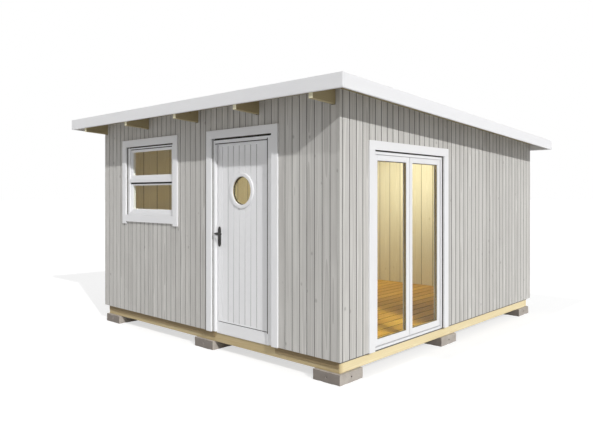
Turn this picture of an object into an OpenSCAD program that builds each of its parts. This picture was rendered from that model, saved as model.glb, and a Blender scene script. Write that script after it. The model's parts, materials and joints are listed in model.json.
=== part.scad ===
/* [Shed] */
// Width of the walls across the front, outside the cladding
shed_w = 3870; // [3600:10:4600]
// Depth of the walls from front to back, outside the cladding
shed_d = 3870; // [3200:10:5000]
// Thickness of a wall: cladding, studs and lining
wall_t = 90; // [86:1:130]

/* [Base] */
// Height of a concrete block
block_h = 105; // [60:1:250]
// Width and length of a concrete block
block_w = 305; // [200:5:380]
// How far the blocks stand in from the wall face
block_inset = 15; // [0:1:30]
// How far the middle blocks stand off the middle towards the right
block_shift_x = 75; // [-100:5:100]
// How far the middle blocks stand off the middle towards the front
block_shift_y = 160; // [-200:5:200]
// Height of the floor joists
joist_h = 95; // [70:1:220]
// Width of a floor joist
joist_w = 45; // [34:1:48]
// How far the rim joists stand in from the wall face
rim_inset = 40; // [20:1:42]
// Number of floor joists between the rims, an odd number so that one stands in the middle
joist_count = 5; // [3:2:7]
// Thickness of the floor boards
floor_t = 22; // [16:1:28]

/* [Roof] */
// Height of the roof boards over the front fascia above the opening for the front door
over_door_h = 323; // [250:1:700]
// Least room between the opening for the glazed doors and the rafter over it
over_glazed_gap = 265; // [100:1:400]
// Fall of the roof towards the back, in degrees
roof_pitch = 3; // [1:0.1:3.5]
// Reach of the roof past the front wall
front_overhang = 290; // [150:5:400]
// Reach of the roof past the back wall
back_overhang = 40; // [40:5:400]
// Reach of the roof past each side wall
side_overhang = 275; // [100:5:400]
// Height of a rafter
rafter_h = 120; // [95:1:145]
// Width of a rafter
rafter_w = 45; // [34:1:70]
// Number of rafters
rafter_count = 5; // [4:1:6]
// Distance from the right wall's face to the first rafter
rafter_first = 50; // [18:1:100]
// Distance from the left wall's face to the last rafter
rafter_last = 22; // [18:1:100]
// Thickness of the roof boards
deck_t = 22; // [16:1:28]
// Thickness of the roofing felt
felt_t = 4; // [2:1:8]
// Height of a fascia board
fascia_h = 117; // [90:1:160]
// Thickness of a fascia board
fascia_t = 22; // [16:1:30]
// How far the fascia hangs below the roof boards
fascia_drop = 76; // [40:1:85]

/* [Openings] */
// Gap beside and over a window or door frame in its opening
frame_gap = 10; // [5:1:15]
// Depth of a window or door frame
frame_t = 72; // [60:1:76]
// How far the frames stand in from the wall face
frame_in = 8; // [0:1:10]
// Width of a casing board
casing_w = 80; // [60:1:110]
// Thickness of a casing board
casing_t = 18; // [12:1:28]
// Thickness of the front door's leaf
leaf_t = 38; // [34:1:44]
// Room between a closed leaf and the stop in front of it
stop_gap = 5; // [5:1:8]
// Gap beside a leaf at its hinges and over it
hinge_gap = 5; // [5:1:8]
// Gap beside a leaf at its closing edge and under it
closing_gap = 7; // [7:1:10]
// Height of a door sill
sill_h = 22; // [18:1:40]

/* [Front door] */
// Middle of the front door, to the right of the middle of the front wall
door_x = 687; // [500:1:800]
// Width of the front door's frame
door_w = 864; // [760:1:960]
// Height of the front door's frame
door_h = 1920; // [1800:1:1940]
// Width of the front door's jamb at the closing side, behind the stop
door_jamb = 16; // [14:1:45]
// Width of the front door's jamb at the hinges, behind the stop
door_hinge_jamb = 60; // [30:1:80]
// Height of the front door's head behind the stop
door_head = 18; // [14:1:40]
// Width of the front door's stops
door_stop = 10; // [9:1:20]
// Width of the leaf's stile at the closing side
door_stile = 72; // [60:1:90]
// Width of the leaf's stile at the hinges
door_hinge_stile = 109; // [60:1:120]
// Height of the top rail of the leaf
door_top_rail = 48; // [40:1:90]
// Height of the bottom rail of the leaf
door_bottom_rail = 86; // [60:1:160]
// Depth of the board field on each face of the leaf
field_depth = 4; // [2:1:8]
// Clear diameter of the round window
port_d = 272; // [180:1:320]
// Distance of the round window's middle from the top of the leaf
port_drop = 487; // [380:1:600]
// Width of the round window's flange
port_flange = 37; // [16:1:44]
// Thickness of the round window's flange
port_flange_t = 12; // [8:1:16]

/* [Door handle] */
// Height of the lever's axle above the joists' top
lever_z = 985; // [900:1:1100]
// Distance of the lever's axle from the closing edge of the leaf
lever_backset = 31; // [31:1:36]
// Length of a lever
lever_len = 115; // [90:1:140]
// Thickness of a lever
lever_d = 14; // [13:1:18]
// Reach of a lever from its plate
lever_reach = 60; // [32:1:70]
// Diameter of the lever's axle in the leaf
axle_d = 8; // [6:0.5:9]
// Diameter of the necks between the plates and the levers
neck_d = 11; // [9.5:0.5:12]
// Width of a handle plate
plate_w = 42; // [34:1:42]
// Height of a handle plate
plate_h = 200; // [150:1:230]
// Thickness of a handle plate
plate_t = 6; // [4:1:8]

/* [Glazed doors] */
// Middle of the glazed doors, behind the front wall's face
glazed_y = 1042; // [900:1:1300]
// Width of the glazed doors' frame
glazed_w = 1155; // [1000:1:1300]
// Height of the glazed doors' frame
glazed_h = 1755; // [1650:1:1850]
// Width of the glazed doors' jambs behind the stops
glazed_jamb = 18; // [16:1:30]
// Width of the glazed doors' stops
glazed_stop = 8; // [8:1:14]
// Thickness of the glazed doors' stops
glazed_stop_t = 6; // [5:1:12]
// Thickness of a glazed leaf
glazed_leaf_t = 48; // [40:1:48]
// Gap between the two glazed leaves
pair_gap = 8; // [8:1:12]
// Width of the stiles of a glazed leaf
glazed_stile = 44; // [40:1:70]
// Height of the top and bottom rails of a glazed leaf
glazed_rail = 53; // [50:1:90]
// Distance of a pane from the outer face of its leaf
glazed_pane_in = 6; // [4:1:20]

/* [Window] */
// Middle of the window, to the left of the middle of the front wall
window_x = 918; // [800:1:1000]
// Width of the window's frame
window_w = 954; // [700:1:1000]
// Height of the window's frame
window_h = 865; // [700:1:880]
// Width of the frame's sides
window_bar = 42; // [36:1:60]
// Height of the frame's head
window_head = 16; // [14:1:60]
// Height of the frame's crossbar
window_cross = 47; // [36:1:70]
// Height of the frame's foot, of which the casing covers most
window_foot = 114; // [90:1:130]
// Width of the stiles and rails of a sash
sash_bar = 28; // [24:1:60]
// Thickness of a sash
sash_t = 46; // [34:1:48]
// How far the sashes stand in from the face of their frame
sash_back = 15; // [4:1:16]
// How far the side casings run on below the window's opening
casing_ear = 25; // [0:1:40]
// Thickness of a pane of glass
glass_t = 6; // [4:1:10]

/* [Hinges] */
// Height of a lift-off hinge
hinge_h = 90; // [70:2:120]
// Outer diameter of a hinge knuckle
knuckle_d = 14; // [12:0.5:16]
// Diameter of a hinge pin
pin_d = 7; // [6:0.5:8]
// Thickness of a hinge plate
hinge_plate_t = 2.5; // [2:0.5:3]
// Width of a hinge plate on a leaf
hinge_plate_w = 32; // [24:1:38]
// Distance of a hinge's middle from the end of its leaf
hinge_end = 190; // [120:1:300]

/* [Fits] */
// Room round a pin, an axle or a pane of glass, and between a wall and the roof on it
fit = 0.3; // [0.2:0.05:0.4]
// Room between boards that are cut round each other
cut_fit = 1; // [0.5:0.1:2]

/* [Hidden] */
$fn = 64;

// Spare length of a cutting solid past the face that it cuts
past = 1;

// The four wall faces, and the height of the joists' top, where walls and floor stand
x_left = -shed_w / 2;
x_right = shed_w / 2;
y_eave = -(front_overhang + shed_d + back_overhang) / 2;
y_front = y_eave + front_overhang;
y_back = y_front + shed_d;
y_end = y_back + back_overhang;
base_z = block_h + joist_h;

// Left sides of the rafters, from the right to the left
rafter_step = (shed_w - rafter_first - rafter_last - rafter_w) / (rafter_count - 1);
rafter_xs = [for (i = [0 : rafter_count - 1]) x_right - rafter_first - rafter_w - i * rafter_step];

// Openings in the walls
door_hole_w = door_w + 2 * frame_gap;
door_hole_h = door_h + frame_gap;
glazed_hole_w = glazed_w + 2 * frame_gap;
glazed_hole_h = glazed_h + frame_gap;
window_hole_w = window_w + 2 * frame_gap;
window_hole_h = window_h + frame_gap;

// The heads of the window and of the front door line up
window_z = door_h - window_h;

// Height of the roof boards' underside over the front fascia: the front door sets it, unless the
// glazed doors need more
roof_fall = tan(roof_pitch);
glazed_fall = roof_fall * (front_overhang + glazed_y + glazed_hole_w / 2);
eave_over_door = door_hole_h + over_door_h;
eave_over_glazed = glazed_hole_h + over_glazed_gap + rafter_h + glazed_fall;
eave_z = base_z + max(eave_over_door, eave_over_glazed);

// Height of the roof boards' underside over a place between front and back
function roof_z(y) = eave_z - roof_fall * (y - y_eave);

// Depths behind the wall face: stop, leaf, and the inner side of frames and leaves
inner_side = frame_in + frame_t;
leaf_in = inner_side - leaf_t;
stop_t = leaf_in - stop_gap - frame_in;
glazed_leaf_in = frame_in + glazed_stop_t + stop_gap;
glazed_inner = glazed_leaf_in + glazed_leaf_t;

// Front door leaf, in the door's own frame: x from the middle, z from the joists' top
leaf_w = door_w - door_jamb - door_hinge_jamb - hinge_gap - closing_gap;
leaf_right = door_w / 2 - door_hinge_jamb - hinge_gap;
leaf_left = leaf_right - leaf_w;
leaf_low = sill_h + closing_gap;
leaf_high = door_h - door_head - hinge_gap;
field_left = leaf_left + door_stile;
field_right = leaf_right - door_hinge_stile;
port_x = (field_left + field_right) / 2;
port_z = leaf_high - port_drop;
sleeve_t = 7;
port_bore = port_d + 2 * sleeve_t;
lever_x = leaf_left + lever_backset;
plate_low = lever_z - plate_h * 2 / 3;

// Glazed leaves
pair_w = glazed_w - 2 * glazed_jamb - 2 * hinge_gap - pair_gap;
glazed_leaf_w = pair_w / 2;
glazed_outer = glazed_w / 2 - glazed_jamb - hinge_gap;
glazed_high = glazed_h - glazed_jamb - hinge_gap;

// Hinge axis, off the inner side of a leaf
hinge_off = knuckle_d / 2 + hinge_plate_t - 0.5;
hinge_split = 1;

wall_color = "#b9b8b5";
white_color = "#ececee";
pine_color = "#d9b877";
concrete_color = "#a39c96";
iron_color = "#2c2b2a";
felt_color = "#4a4a4c";
glass_color = "#c9b98a";

module slab(x0, x1, y0, y1, z0, z1) {
  translate([x0, y0, z0]) cube([x1 - x0, y1 - y0, z1 - z0]);
}

// A profile drawn from the side, in y and z, carried from x0 to x1
module across(x0, x1, profile) {
  translate([x0, 0, 0]) rotate([90, 0, 90]) linear_extrude(x1 - x0) polygon(profile);
}

// A board that follows the roof from y0 to y1, with its faces low and high over the roof boards' underside
function roof_profile(y0, y1, low, high) = [
  [y0, roof_z(y0) + low], [y1, roof_z(y1) + low],
  [y1, roof_z(y1) + high], [y0, roof_z(y0) + high]
];

// Piece of wall that reaches up to the roof boards
function wall_profile(y0, y1, z0) = [
  [y0, z0], [y1, z0],
  [y1, roof_z(y1) - fit], [y0, roof_z(y0) - fit]
];

module front_piece(x0, x1, z0) {
  difference() {
    across(x0, x1, wall_profile(y_front, y_front + wall_t, z0));
    rafter_notches(y_front - past, y_front + wall_t + past);
  }
}

module rafter_notches(y0, y1) {
  for (x = rafter_xs)
    across(x - cut_fit, x + rafter_w + cut_fit, roof_profile(y0, y1, -rafter_h - fit, past));
}

// Places on the front wall and on the right wall: x along the wall, y into the room
module on_front(x) {
  translate([x, y_front, base_z]) children();
}

module on_right(y) {
  translate([x_right, y_front + y, base_z]) rotate([0, 0, 90]) children();
}

// Base

module block_row(y0) {
  mid = (x_left + x_right) / 2 + block_shift_x;
  for (x = [x_left + block_inset, mid - block_w / 2, x_right - block_inset - block_w])
    slab(x, x + block_w, y0, y0 + block_w, 0, block_h);
}

module front_blocks() {
  color(concrete_color) block_row(y_front + block_inset);
}

module middle_blocks() {
  color(concrete_color) block_row((y_front + y_back) / 2 - block_shift_y - block_w / 2);
}

module back_blocks() {
  color(concrete_color) block_row(y_back - block_inset - block_w);
}

module front_rim_joist() {
  color(pine_color)
    slab(x_left + rim_inset, x_right - rim_inset, y_front + rim_inset, y_front + rim_inset + joist_w,
         block_h, base_z);
}

module back_rim_joist() {
  color(pine_color)
    slab(x_left + rim_inset, x_right - rim_inset, y_back - rim_inset - joist_w, y_back - rim_inset,
         block_h, base_z);
}

module side_rim(x0) {
  slab(x0, x0 + joist_w, y_front + rim_inset + joist_w, y_back - rim_inset - joist_w, block_h, base_z);
}

module left_rim_joist() {
  color(pine_color) side_rim(x_left + rim_inset);
}

module right_rim_joist() {
  color(pine_color) side_rim(x_right - rim_inset - joist_w);
}

module floor_joists() {
  step = (shed_w - 2 * rim_inset - joist_w) / (joist_count + 1);
  color(pine_color)
    for (i = [1 : joist_count])
      side_rim(x_left + rim_inset + i * step);
}

module floor_boards() {
  color(pine_color)
    slab(x_left + wall_t + cut_fit, x_right - wall_t - cut_fit,
         y_front + wall_t + cut_fit, y_back - wall_t - cut_fit, base_z, base_z + floor_t);
}

// Walls

module front_wall_left() {
  color(wall_color) front_piece(x_left, -window_x - window_hole_w / 2, base_z);
}

module front_wall_under_window() {
  color(wall_color)
    slab(-window_x - window_hole_w / 2, -window_x + window_hole_w / 2, y_front, y_front + wall_t,
         base_z, base_z + window_z);
}

module front_wall_over_window() {
  color(wall_color)
    front_piece(-window_x - window_hole_w / 2, -window_x + window_hole_w / 2,
                base_z + window_z + window_hole_h);
}

module front_wall_middle() {
  color(wall_color) front_piece(-window_x + window_hole_w / 2, door_x - door_hole_w / 2, base_z);
}

module front_wall_over_door() {
  color(wall_color)
    front_piece(door_x - door_hole_w / 2, door_x + door_hole_w / 2, base_z + door_hole_h);
}

module front_wall_right() {
  color(wall_color) front_piece(door_x + door_hole_w / 2, x_right, base_z);
}

// The rafter at the end of the row lies on the side wall, behind the cladding
module side_piece(x0, y0, y1, z0) {
  difference() {
    across(x0, x0 + wall_t, wall_profile(y0, y1, z0));
    rafter_notches(y0 - past, y1 + past);
  }
}

module right_wall_front() {
  color(wall_color)
    side_piece(x_right - wall_t, y_front + wall_t, y_front + glazed_y - glazed_hole_w / 2, base_z);
}

module right_wall_over_doors() {
  color(wall_color)
    side_piece(x_right - wall_t, y_front + glazed_y - glazed_hole_w / 2,
               y_front + glazed_y + glazed_hole_w / 2, base_z + glazed_hole_h);
}

module right_wall_back() {
  color(wall_color)
    side_piece(x_right - wall_t, y_front + glazed_y + glazed_hole_w / 2, y_back - wall_t, base_z);
}

module left_wall() {
  color(wall_color) side_piece(x_left, y_front + wall_t, y_back - wall_t, base_z);
}

module back_wall() {
  color(wall_color)
    difference() {
      across(x_left, x_right, wall_profile(y_back - wall_t, y_back, base_z));
      rafter_notches(y_back - wall_t - past, y_back + past);
    }
}

// Roof

module rafters() {
  color(pine_color)
    for (x = rafter_xs)
      across(x, x + rafter_w, roof_profile(y_eave + fascia_t, y_end - fascia_t, -rafter_h, 0));
}

module roof_boards() {
  color(pine_color)
    across(x_left - side_overhang + fascia_t, x_right + side_overhang - fascia_t,
           roof_profile(y_eave + fascia_t, y_end - fascia_t, 0, deck_t));
}

module roofing_felt() {
  color(felt_color)
    across(x_left - side_overhang + fascia_t, x_right + side_overhang - fascia_t,
           roof_profile(y_eave + fascia_t, y_end - fascia_t, deck_t, deck_t + felt_t));
}

module end_fascia(y0) {
  across(x_left - side_overhang, x_right + side_overhang,
         roof_profile(y0, y0 + fascia_t, -fascia_drop, fascia_h - fascia_drop));
}

module front_fascia() {
  color(white_color) end_fascia(y_eave);
}

module back_fascia() {
  color(white_color) end_fascia(y_end - fascia_t);
}

module side_fascia(x0) {
  across(x0, x0 + fascia_t,
         roof_profile(y_eave + fascia_t, y_end - fascia_t, -fascia_drop, fascia_h - fascia_drop));
}

module left_fascia() {
  color(white_color) side_fascia(x_left - side_overhang);
}

module right_fascia() {
  color(white_color) side_fascia(x_right + side_overhang - fascia_t);
}

// Window, which does not open

// Casing boards round an opening w wide that reaches from low to high, in front of the wall
module casing_sides(w, low, high) {
  for (x = [-w / 2 - casing_w, w / 2])
    slab(x, x + casing_w, -casing_t, 0, low, high);
  slab(-w / 2 - casing_w, w / 2 + casing_w, -casing_t, 0, high, high + casing_w);
}

module window_casing() {
  top = window_z + window_hole_h;
  color(white_color)
    on_front(-window_x) {
      casing_sides(window_hole_w, window_z - casing_ear, top);
      slab(-window_hole_w / 2, window_hole_w / 2, -casing_t, 0,
           window_z, window_z + casing_w);
    }
}

sash_space_h = (window_h - window_foot - window_cross - window_head) / 2;
sash_zs = [window_foot, window_foot + sash_space_h + window_cross];
sash_w = window_w - 2 * window_bar - 2 * fit;
sash_h = sash_space_h - 2 * fit;
sash_in = frame_in + sash_back;
pane_in = sash_in + sash_t * 0.3;

module at_sashes() {
  on_front(-window_x)
    for (z = sash_zs)
      translate([0, 0, window_z + z + fit]) children();
}

module window_frame() {
  half = window_w / 2;
  color(white_color)
    on_front(-window_x) difference() {
      slab(-half, half, frame_in, inner_side, window_z, window_z + window_h);
      for (z = sash_zs)
        slab(-half + window_bar, half - window_bar, frame_in - past, inner_side + past,
             window_z + z, window_z + z + sash_space_h);
    }
}

module window_sashes() {
  half = sash_w / 2;
  color(white_color)
    at_sashes() difference() {
      slab(-half, half, sash_in, sash_in + sash_t, 0, sash_h);
      slab(-half + sash_bar, half - sash_bar, sash_in - past, sash_in + sash_t + past,
           sash_bar, sash_h - sash_bar);
    }
}

module window_glass() {
  color(glass_color, 0.5)
    at_sashes()
      slab(-sash_w / 2 + sash_bar + fit, sash_w / 2 - sash_bar - fit, pane_in, pane_in + glass_t,
           sash_bar + fit, sash_h - sash_bar - fit);
}

// Doors

// Frame with a rebate that the leaf closes into from the room, behind stops, and a sill.
// The frame reaches from x0 to x1 and from depth frame_in to inner, and its rebate from r0 to r1.
module rebated_frame(x0, x1, r0, r1, h, head, stop, stop_depth, inner, sill_in) {
  difference() {
    slab(x0, x1, frame_in, inner, 0, h);
    slab(r0, r1, frame_in + stop_depth, inner + past, sill_h, h - head);
    slab(r0 + stop, r1 - stop, frame_in - past, inner, sill_h, h - head - stop);
    if (sill_in > frame_in)
      slab(r0 + stop, r1 - stop, frame_in - past, sill_in, -past, sill_h + past);
  }
}

module door_casing() {
  color(white_color) on_front(door_x) casing_sides(door_hole_w, 0, door_hole_h);
}

module door_frame() {
  half = door_w / 2;
  color(white_color)
    on_front(door_x)
      rebated_frame(-half, half, -half + door_jamb, half - door_hinge_jamb, door_h, door_head,
                    door_stop, stop_t, inner_side, leaf_in);
}

module along_depth(x, z, y0, y1, d) {
  translate([x, y0, z]) rotate([-90, 0, 0]) cylinder(h = y1 - y0, d = d);
}

module door_leaf() {
  color(white_color)
    on_front(door_x) difference() {
      slab(leaf_left, leaf_right, leaf_in, inner_side, leaf_low, leaf_high);
      for (y = [leaf_in - past, inner_side - field_depth])
        slab(field_left, field_right, y, y + field_depth + past,
             leaf_low + door_bottom_rail, leaf_high - door_top_rail);
      along_depth(port_x, port_z, leaf_in - past, inner_side + past, port_bore);
      along_depth(lever_x, lever_z, leaf_in - past, inner_side + past, axle_d + 2 * fit);
    }
}

// Round window: an outer ring with its sleeve, an inner ring, and the pane held in the sleeve
field_out = leaf_in + field_depth;
field_back = inner_side - field_depth;

module round_profile(y0, points) {
  translate([port_x, y0, port_z]) rotate([-90, 0, 0]) rotate_extrude() polygon(points);
}

module porthole_ring() {
  sleeve_len = field_back - field_out + port_flange_t;
  color(white_color)
    on_front(door_x)
      round_profile(field_out - port_flange_t, [
        [port_d / 2, 0],
        [port_d / 2 + port_flange - port_flange_t / 3, 0],
        [port_d / 2 + port_flange, port_flange_t / 3],
        [port_d / 2 + port_flange, port_flange_t],
        [port_bore / 2 - fit, port_flange_t],
        [port_bore / 2 - fit, sleeve_len],
        [port_d / 2, sleeve_len]
      ]);
}

module porthole_inner_ring() {
  color(white_color)
    on_front(door_x)
      round_profile(field_back, [
        [port_d / 2, 0],
        [port_d / 2 + port_flange, 0],
        [port_d / 2 + port_flange, port_flange_t * 2 / 3],
        [port_d / 2 + port_flange - port_flange_t / 3, port_flange_t],
        [port_d / 2, port_flange_t]
      ]);
}

module porthole_glass() {
  mid = (field_out + field_back) / 2;
  color(glass_color, 0.5)
    on_front(door_x)
      along_depth(port_x, port_z, mid - glass_t / 2, mid + glass_t / 2, port_d - 2 * fit);
}

module handle_plates() {
  color(iron_color)
    on_front(door_x) difference() {
      for (y = [leaf_in - plate_t, inner_side])
        slab(lever_x - plate_w / 2, lever_x + plate_w / 2, y, y + plate_t,
             plate_low, plate_low + plate_h);
      along_depth(lever_x, lever_z, leaf_in - plate_t - past, inner_side + plate_t + past,
                  axle_d + 2 * fit);
    }
}

// Two levers on one axle, which turns in the leaf
module lever_bar() {
  edge = lever_d / 4;
  rotate([0, 90, 0]) rotate_extrude() polygon([
    [0, -lever_d / 2],
    [lever_d / 2 - edge, -lever_d / 2],
    [lever_d / 2, -lever_d / 2 + edge],
    [lever_d / 2, lever_len - edge],
    [lever_d / 2 - edge, lever_len],
    [0, lever_len]
  ]);
}

module door_lever() {
  outer = leaf_in - plate_t - lever_reach;
  inner = inner_side + plate_t + lever_reach;
  color(iron_color)
    on_front(door_x) {
      along_depth(lever_x, lever_z, outer, inner, axle_d);
      along_depth(lever_x, lever_z, outer, leaf_in - plate_t - fit, neck_d);
      along_depth(lever_x, lever_z, inner_side + plate_t + fit, inner, neck_d);
      for (y = [outer, inner])
        translate([lever_x, y, lever_z]) lever_bar();
    }
}

// Lift-off hinges. The half on the frame carries a pin, and the half on the leaf drops over it.
// Side is 1 where the frame lies to the right of the axis, and -1 where it lies to the left.
module hinge_plate(from, to, z0, z1) {
  slab(min(from, to), max(from, to), -hinge_off, -hinge_off + hinge_plate_t, z0, z1);
}

module hinge_on_frame(side, plate_w) {
  hinge_plate(0, side * (hinge_gap / 2 + plate_w), -hinge_h / 2, -hinge_split / 2);
  translate([0, 0, -hinge_h / 2]) cylinder(h = hinge_h / 2 - hinge_split / 2, d = knuckle_d);
  translate([0, 0, -hinge_h / 2]) cylinder(h = hinge_h - knuckle_d / 2, d = pin_d);
}

module hinge_on_leaf(side) {
  difference() {
    union() {
      hinge_plate(0, -side * (hinge_gap / 2 + hinge_plate_w), hinge_split / 2, hinge_h / 2);
      translate([0, 0, hinge_split / 2])
        cylinder(h = hinge_h / 2 - hinge_split / 2, d = knuckle_d);
    }
    translate([0, 0, -past]) cylinder(h = hinge_h / 2 + 2 * past, d = pin_d + 2 * fit);
  }
}

module at_hinges(x, inner, low, high) {
  for (z = [low + hinge_end, high - hinge_end])
    translate([x, inner + hinge_off, z]) children();
}

door_axis = leaf_right + hinge_gap / 2;

module door_hinge_pins() {
  color(iron_color)
    on_front(door_x)
      at_hinges(door_axis, inner_side, leaf_low, leaf_high)
        hinge_on_frame(1, min(door_hinge_jamb - 3, hinge_plate_w));
}

module door_hinge_knuckles() {
  color(iron_color)
    on_front(door_x) at_hinges(door_axis, inner_side, leaf_low, leaf_high) hinge_on_leaf(1);
}

// Glazed doors. Side is -1 for the left leaf and 1 for the right one.

glazed_axis = glazed_outer + hinge_gap / 2;
glazed_low = sill_h + closing_gap;

module glazed_door_casing() {
  color(white_color) on_right(glazed_y) casing_sides(glazed_hole_w, 0, glazed_hole_h);
}

module glazed_door_frame() {
  color(white_color)
    on_right(glazed_y)
      rebated_frame(-glazed_w / 2, glazed_w / 2, -glazed_w / 2 + glazed_jamb,
                    glazed_w / 2 - glazed_jamb, glazed_h, glazed_jamb, glazed_stop, glazed_stop_t,
                    glazed_inner, frame_in);
}

function glazed_mid(side) = side * (glazed_outer - glazed_leaf_w / 2);

module glazed_leaf(side) {
  x = glazed_mid(side);
  difference() {
    slab(x - glazed_leaf_w / 2, x + glazed_leaf_w / 2, glazed_leaf_in, glazed_inner,
         glazed_low, glazed_high);
    slab(x - glazed_leaf_w / 2 + glazed_stile, x + glazed_leaf_w / 2 - glazed_stile,
         glazed_leaf_in - past, glazed_inner + past,
         glazed_low + glazed_rail, glazed_high - glazed_rail);
  }
}

module glazed_pane(side) {
  x = glazed_mid(side);
  half = glazed_leaf_w / 2 - glazed_stile - fit;
  y = glazed_leaf_in + glazed_pane_in;
  slab(x - half, x + half, y, y + glass_t,
       glazed_low + glazed_rail + fit, glazed_high - glazed_rail - fit);
}

module left_glazed_leaf() {
  color(white_color) on_right(glazed_y) glazed_leaf(-1);
}

module right_glazed_leaf() {
  color(white_color) on_right(glazed_y) glazed_leaf(1);
}

module left_glazed_pane() {
  color(glass_color, 0.5) on_right(glazed_y) glazed_pane(-1);
}

module right_glazed_pane() {
  color(glass_color, 0.5) on_right(glazed_y) glazed_pane(1);
}

module glazed_hinge_pins() {
  color(iron_color)
    on_right(glazed_y)
      for (side = [-1, 1])
        at_hinges(side * glazed_axis, glazed_inner, glazed_low, glazed_high)
          hinge_on_frame(side, glazed_jamb - 3);
}

module left_hinge_knuckles() {
  color(iron_color)
    on_right(glazed_y)
      at_hinges(-glazed_axis, glazed_inner, glazed_low, glazed_high) hinge_on_leaf(-1);
}

module right_hinge_knuckles() {
  color(iron_color)
    on_right(glazed_y)
      at_hinges(glazed_axis, glazed_inner, glazed_low, glazed_high) hinge_on_leaf(1);
}

front_blocks();
middle_blocks();
back_blocks();
front_rim_joist();
back_rim_joist();
left_rim_joist();
right_rim_joist();
floor_joists();
floor_boards();
front_wall_left();
front_wall_under_window();
front_wall_over_window();
front_wall_middle();
front_wall_over_door();
front_wall_right();
right_wall_front();
right_wall_over_doors();
right_wall_back();
left_wall();
back_wall();
rafters();
roof_boards();
roofing_felt();
front_fascia();
back_fascia();
left_fascia();
right_fascia();
window_casing();
window_frame();
window_sashes();
window_glass();
door_casing();
door_frame();
door_leaf();
porthole_ring();
porthole_inner_ring();
porthole_glass();
handle_plates();
door_lever();
door_hinge_pins();
door_hinge_knuckles();
glazed_door_casing();
glazed_door_frame();
left_glazed_leaf();
left_glazed_pane();
right_glazed_leaf();
right_glazed_pane();
glazed_hinge_pins();
left_hinge_knuckles();
right_hinge_knuckles();
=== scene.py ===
# %% [markdown]
# # A wooden garden shed, board by board
# The shed is a square hut of stained boards with white trim, one boarded door with a round window,
# a two-light window and a pair of glazed doors, under a flat roof that falls to the back.
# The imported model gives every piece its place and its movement. This lesson dresses it: each plain
# solid is replaced by the boards, mouldings and fittings that a joiner would nail together there.

import json
import math
import random

import bmesh
import bpy
from mathutils import Matrix, Vector, noise


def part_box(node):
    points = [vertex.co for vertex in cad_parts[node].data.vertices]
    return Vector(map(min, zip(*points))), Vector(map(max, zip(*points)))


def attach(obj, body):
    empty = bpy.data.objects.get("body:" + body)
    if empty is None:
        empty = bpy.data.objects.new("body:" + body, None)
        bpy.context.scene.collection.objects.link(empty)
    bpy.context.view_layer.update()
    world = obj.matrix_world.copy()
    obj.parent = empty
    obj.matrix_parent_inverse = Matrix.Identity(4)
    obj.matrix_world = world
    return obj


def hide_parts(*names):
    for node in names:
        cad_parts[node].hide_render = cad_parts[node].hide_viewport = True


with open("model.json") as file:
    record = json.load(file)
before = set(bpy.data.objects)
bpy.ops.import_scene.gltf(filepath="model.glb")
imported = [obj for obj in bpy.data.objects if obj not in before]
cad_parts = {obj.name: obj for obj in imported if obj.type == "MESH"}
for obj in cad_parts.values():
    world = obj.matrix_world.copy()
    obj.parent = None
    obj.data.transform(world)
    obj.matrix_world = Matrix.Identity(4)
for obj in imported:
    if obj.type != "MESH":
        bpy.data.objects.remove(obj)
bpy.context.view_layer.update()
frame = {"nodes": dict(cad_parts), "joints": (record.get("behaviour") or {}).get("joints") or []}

# %% [markdown]
# ## Sizes of the hut
# Nothing is measured twice: the wall faces, the fall of the roof and the openings all come from the
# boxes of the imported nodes. Thicknesses that a box can't tell are named where a piece first needs them.

# %% Walls, roof and openings, read from the frame
left_low, left_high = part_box("front_wall_left")
X_LEFT, X_RIGHT = left_low.x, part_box("front_wall_right")[1].x
Y_FRONT, Y_BACK = left_low.y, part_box("back_wall")[1].y
BASE_Z = left_low.z
WALL_T = left_high.y - left_low.y

eave_low, eave_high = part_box("front_fascia")
rear_low, rear_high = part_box("back_fascia")
ROOF_FALL = (eave_low.z - rear_low.z) / (rear_high.y - eave_high.y)


def wall_top(y):
    """Height of the top of the walls, just under the roof boards."""
    return left_high.z - ROOF_FALL * (y - Y_FRONT)


rafter_low, rafter_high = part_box("rafters")
RAFTER_W, RAFTER_COUNT = 0.045, 5
RAFTER_H = wall_top(rafter_high.y) - rafter_low.z
rafter_step = (rafter_high.x - RAFTER_W - rafter_low.x) / (RAFTER_COUNT - 1)
rafter_xs = [rafter_low.x + k * rafter_step for k in range(RAFTER_COUNT)]

under_low, under_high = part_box("front_wall_under_window")
lintel_low, lintel_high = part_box("front_wall_over_door")
glazed_low, glazed_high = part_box("right_wall_over_doors")
UP = 99.0  # far over any wall, for holes that run out at the top or the foot
window_hole = (under_low.x, under_high.x, under_high.z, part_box("front_wall_over_window")[0].z)
door_hole = (lintel_low.x, lintel_high.x, -UP, lintel_low.z)
glazed_hole = (glazed_low.y, glazed_high.y, -UP, glazed_low.z)
print("walls", round(X_RIGHT - X_LEFT, 3), "by", round(Y_BACK - Y_FRONT, 3), "fall", round(ROOF_FALL, 4))

# %% [markdown]
# ## The camera
# The photograph was taken at eye height with the camera level and its view shifted, so uprights stay
# upright. Two vanishing points and the horizon give the turn and the lens, and the near corner of the
# walls gives the place. A level camera with a lens shift repeats that exactly, where tilting it would
# make the walls lean.

# %% Camera at the photograph's place
IMAGE_W, IMAGE_H = 593, 441
FOCAL_PX = 574.66
HORIZON_PX = 194.3
PRINCIPAL_PX = 345.0
CAMERA_TURN = math.radians(40.22)
CAMERA_SPOT = (X_RIGHT + 3.0517, Y_FRONT - 3.5454, 1.575)

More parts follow.
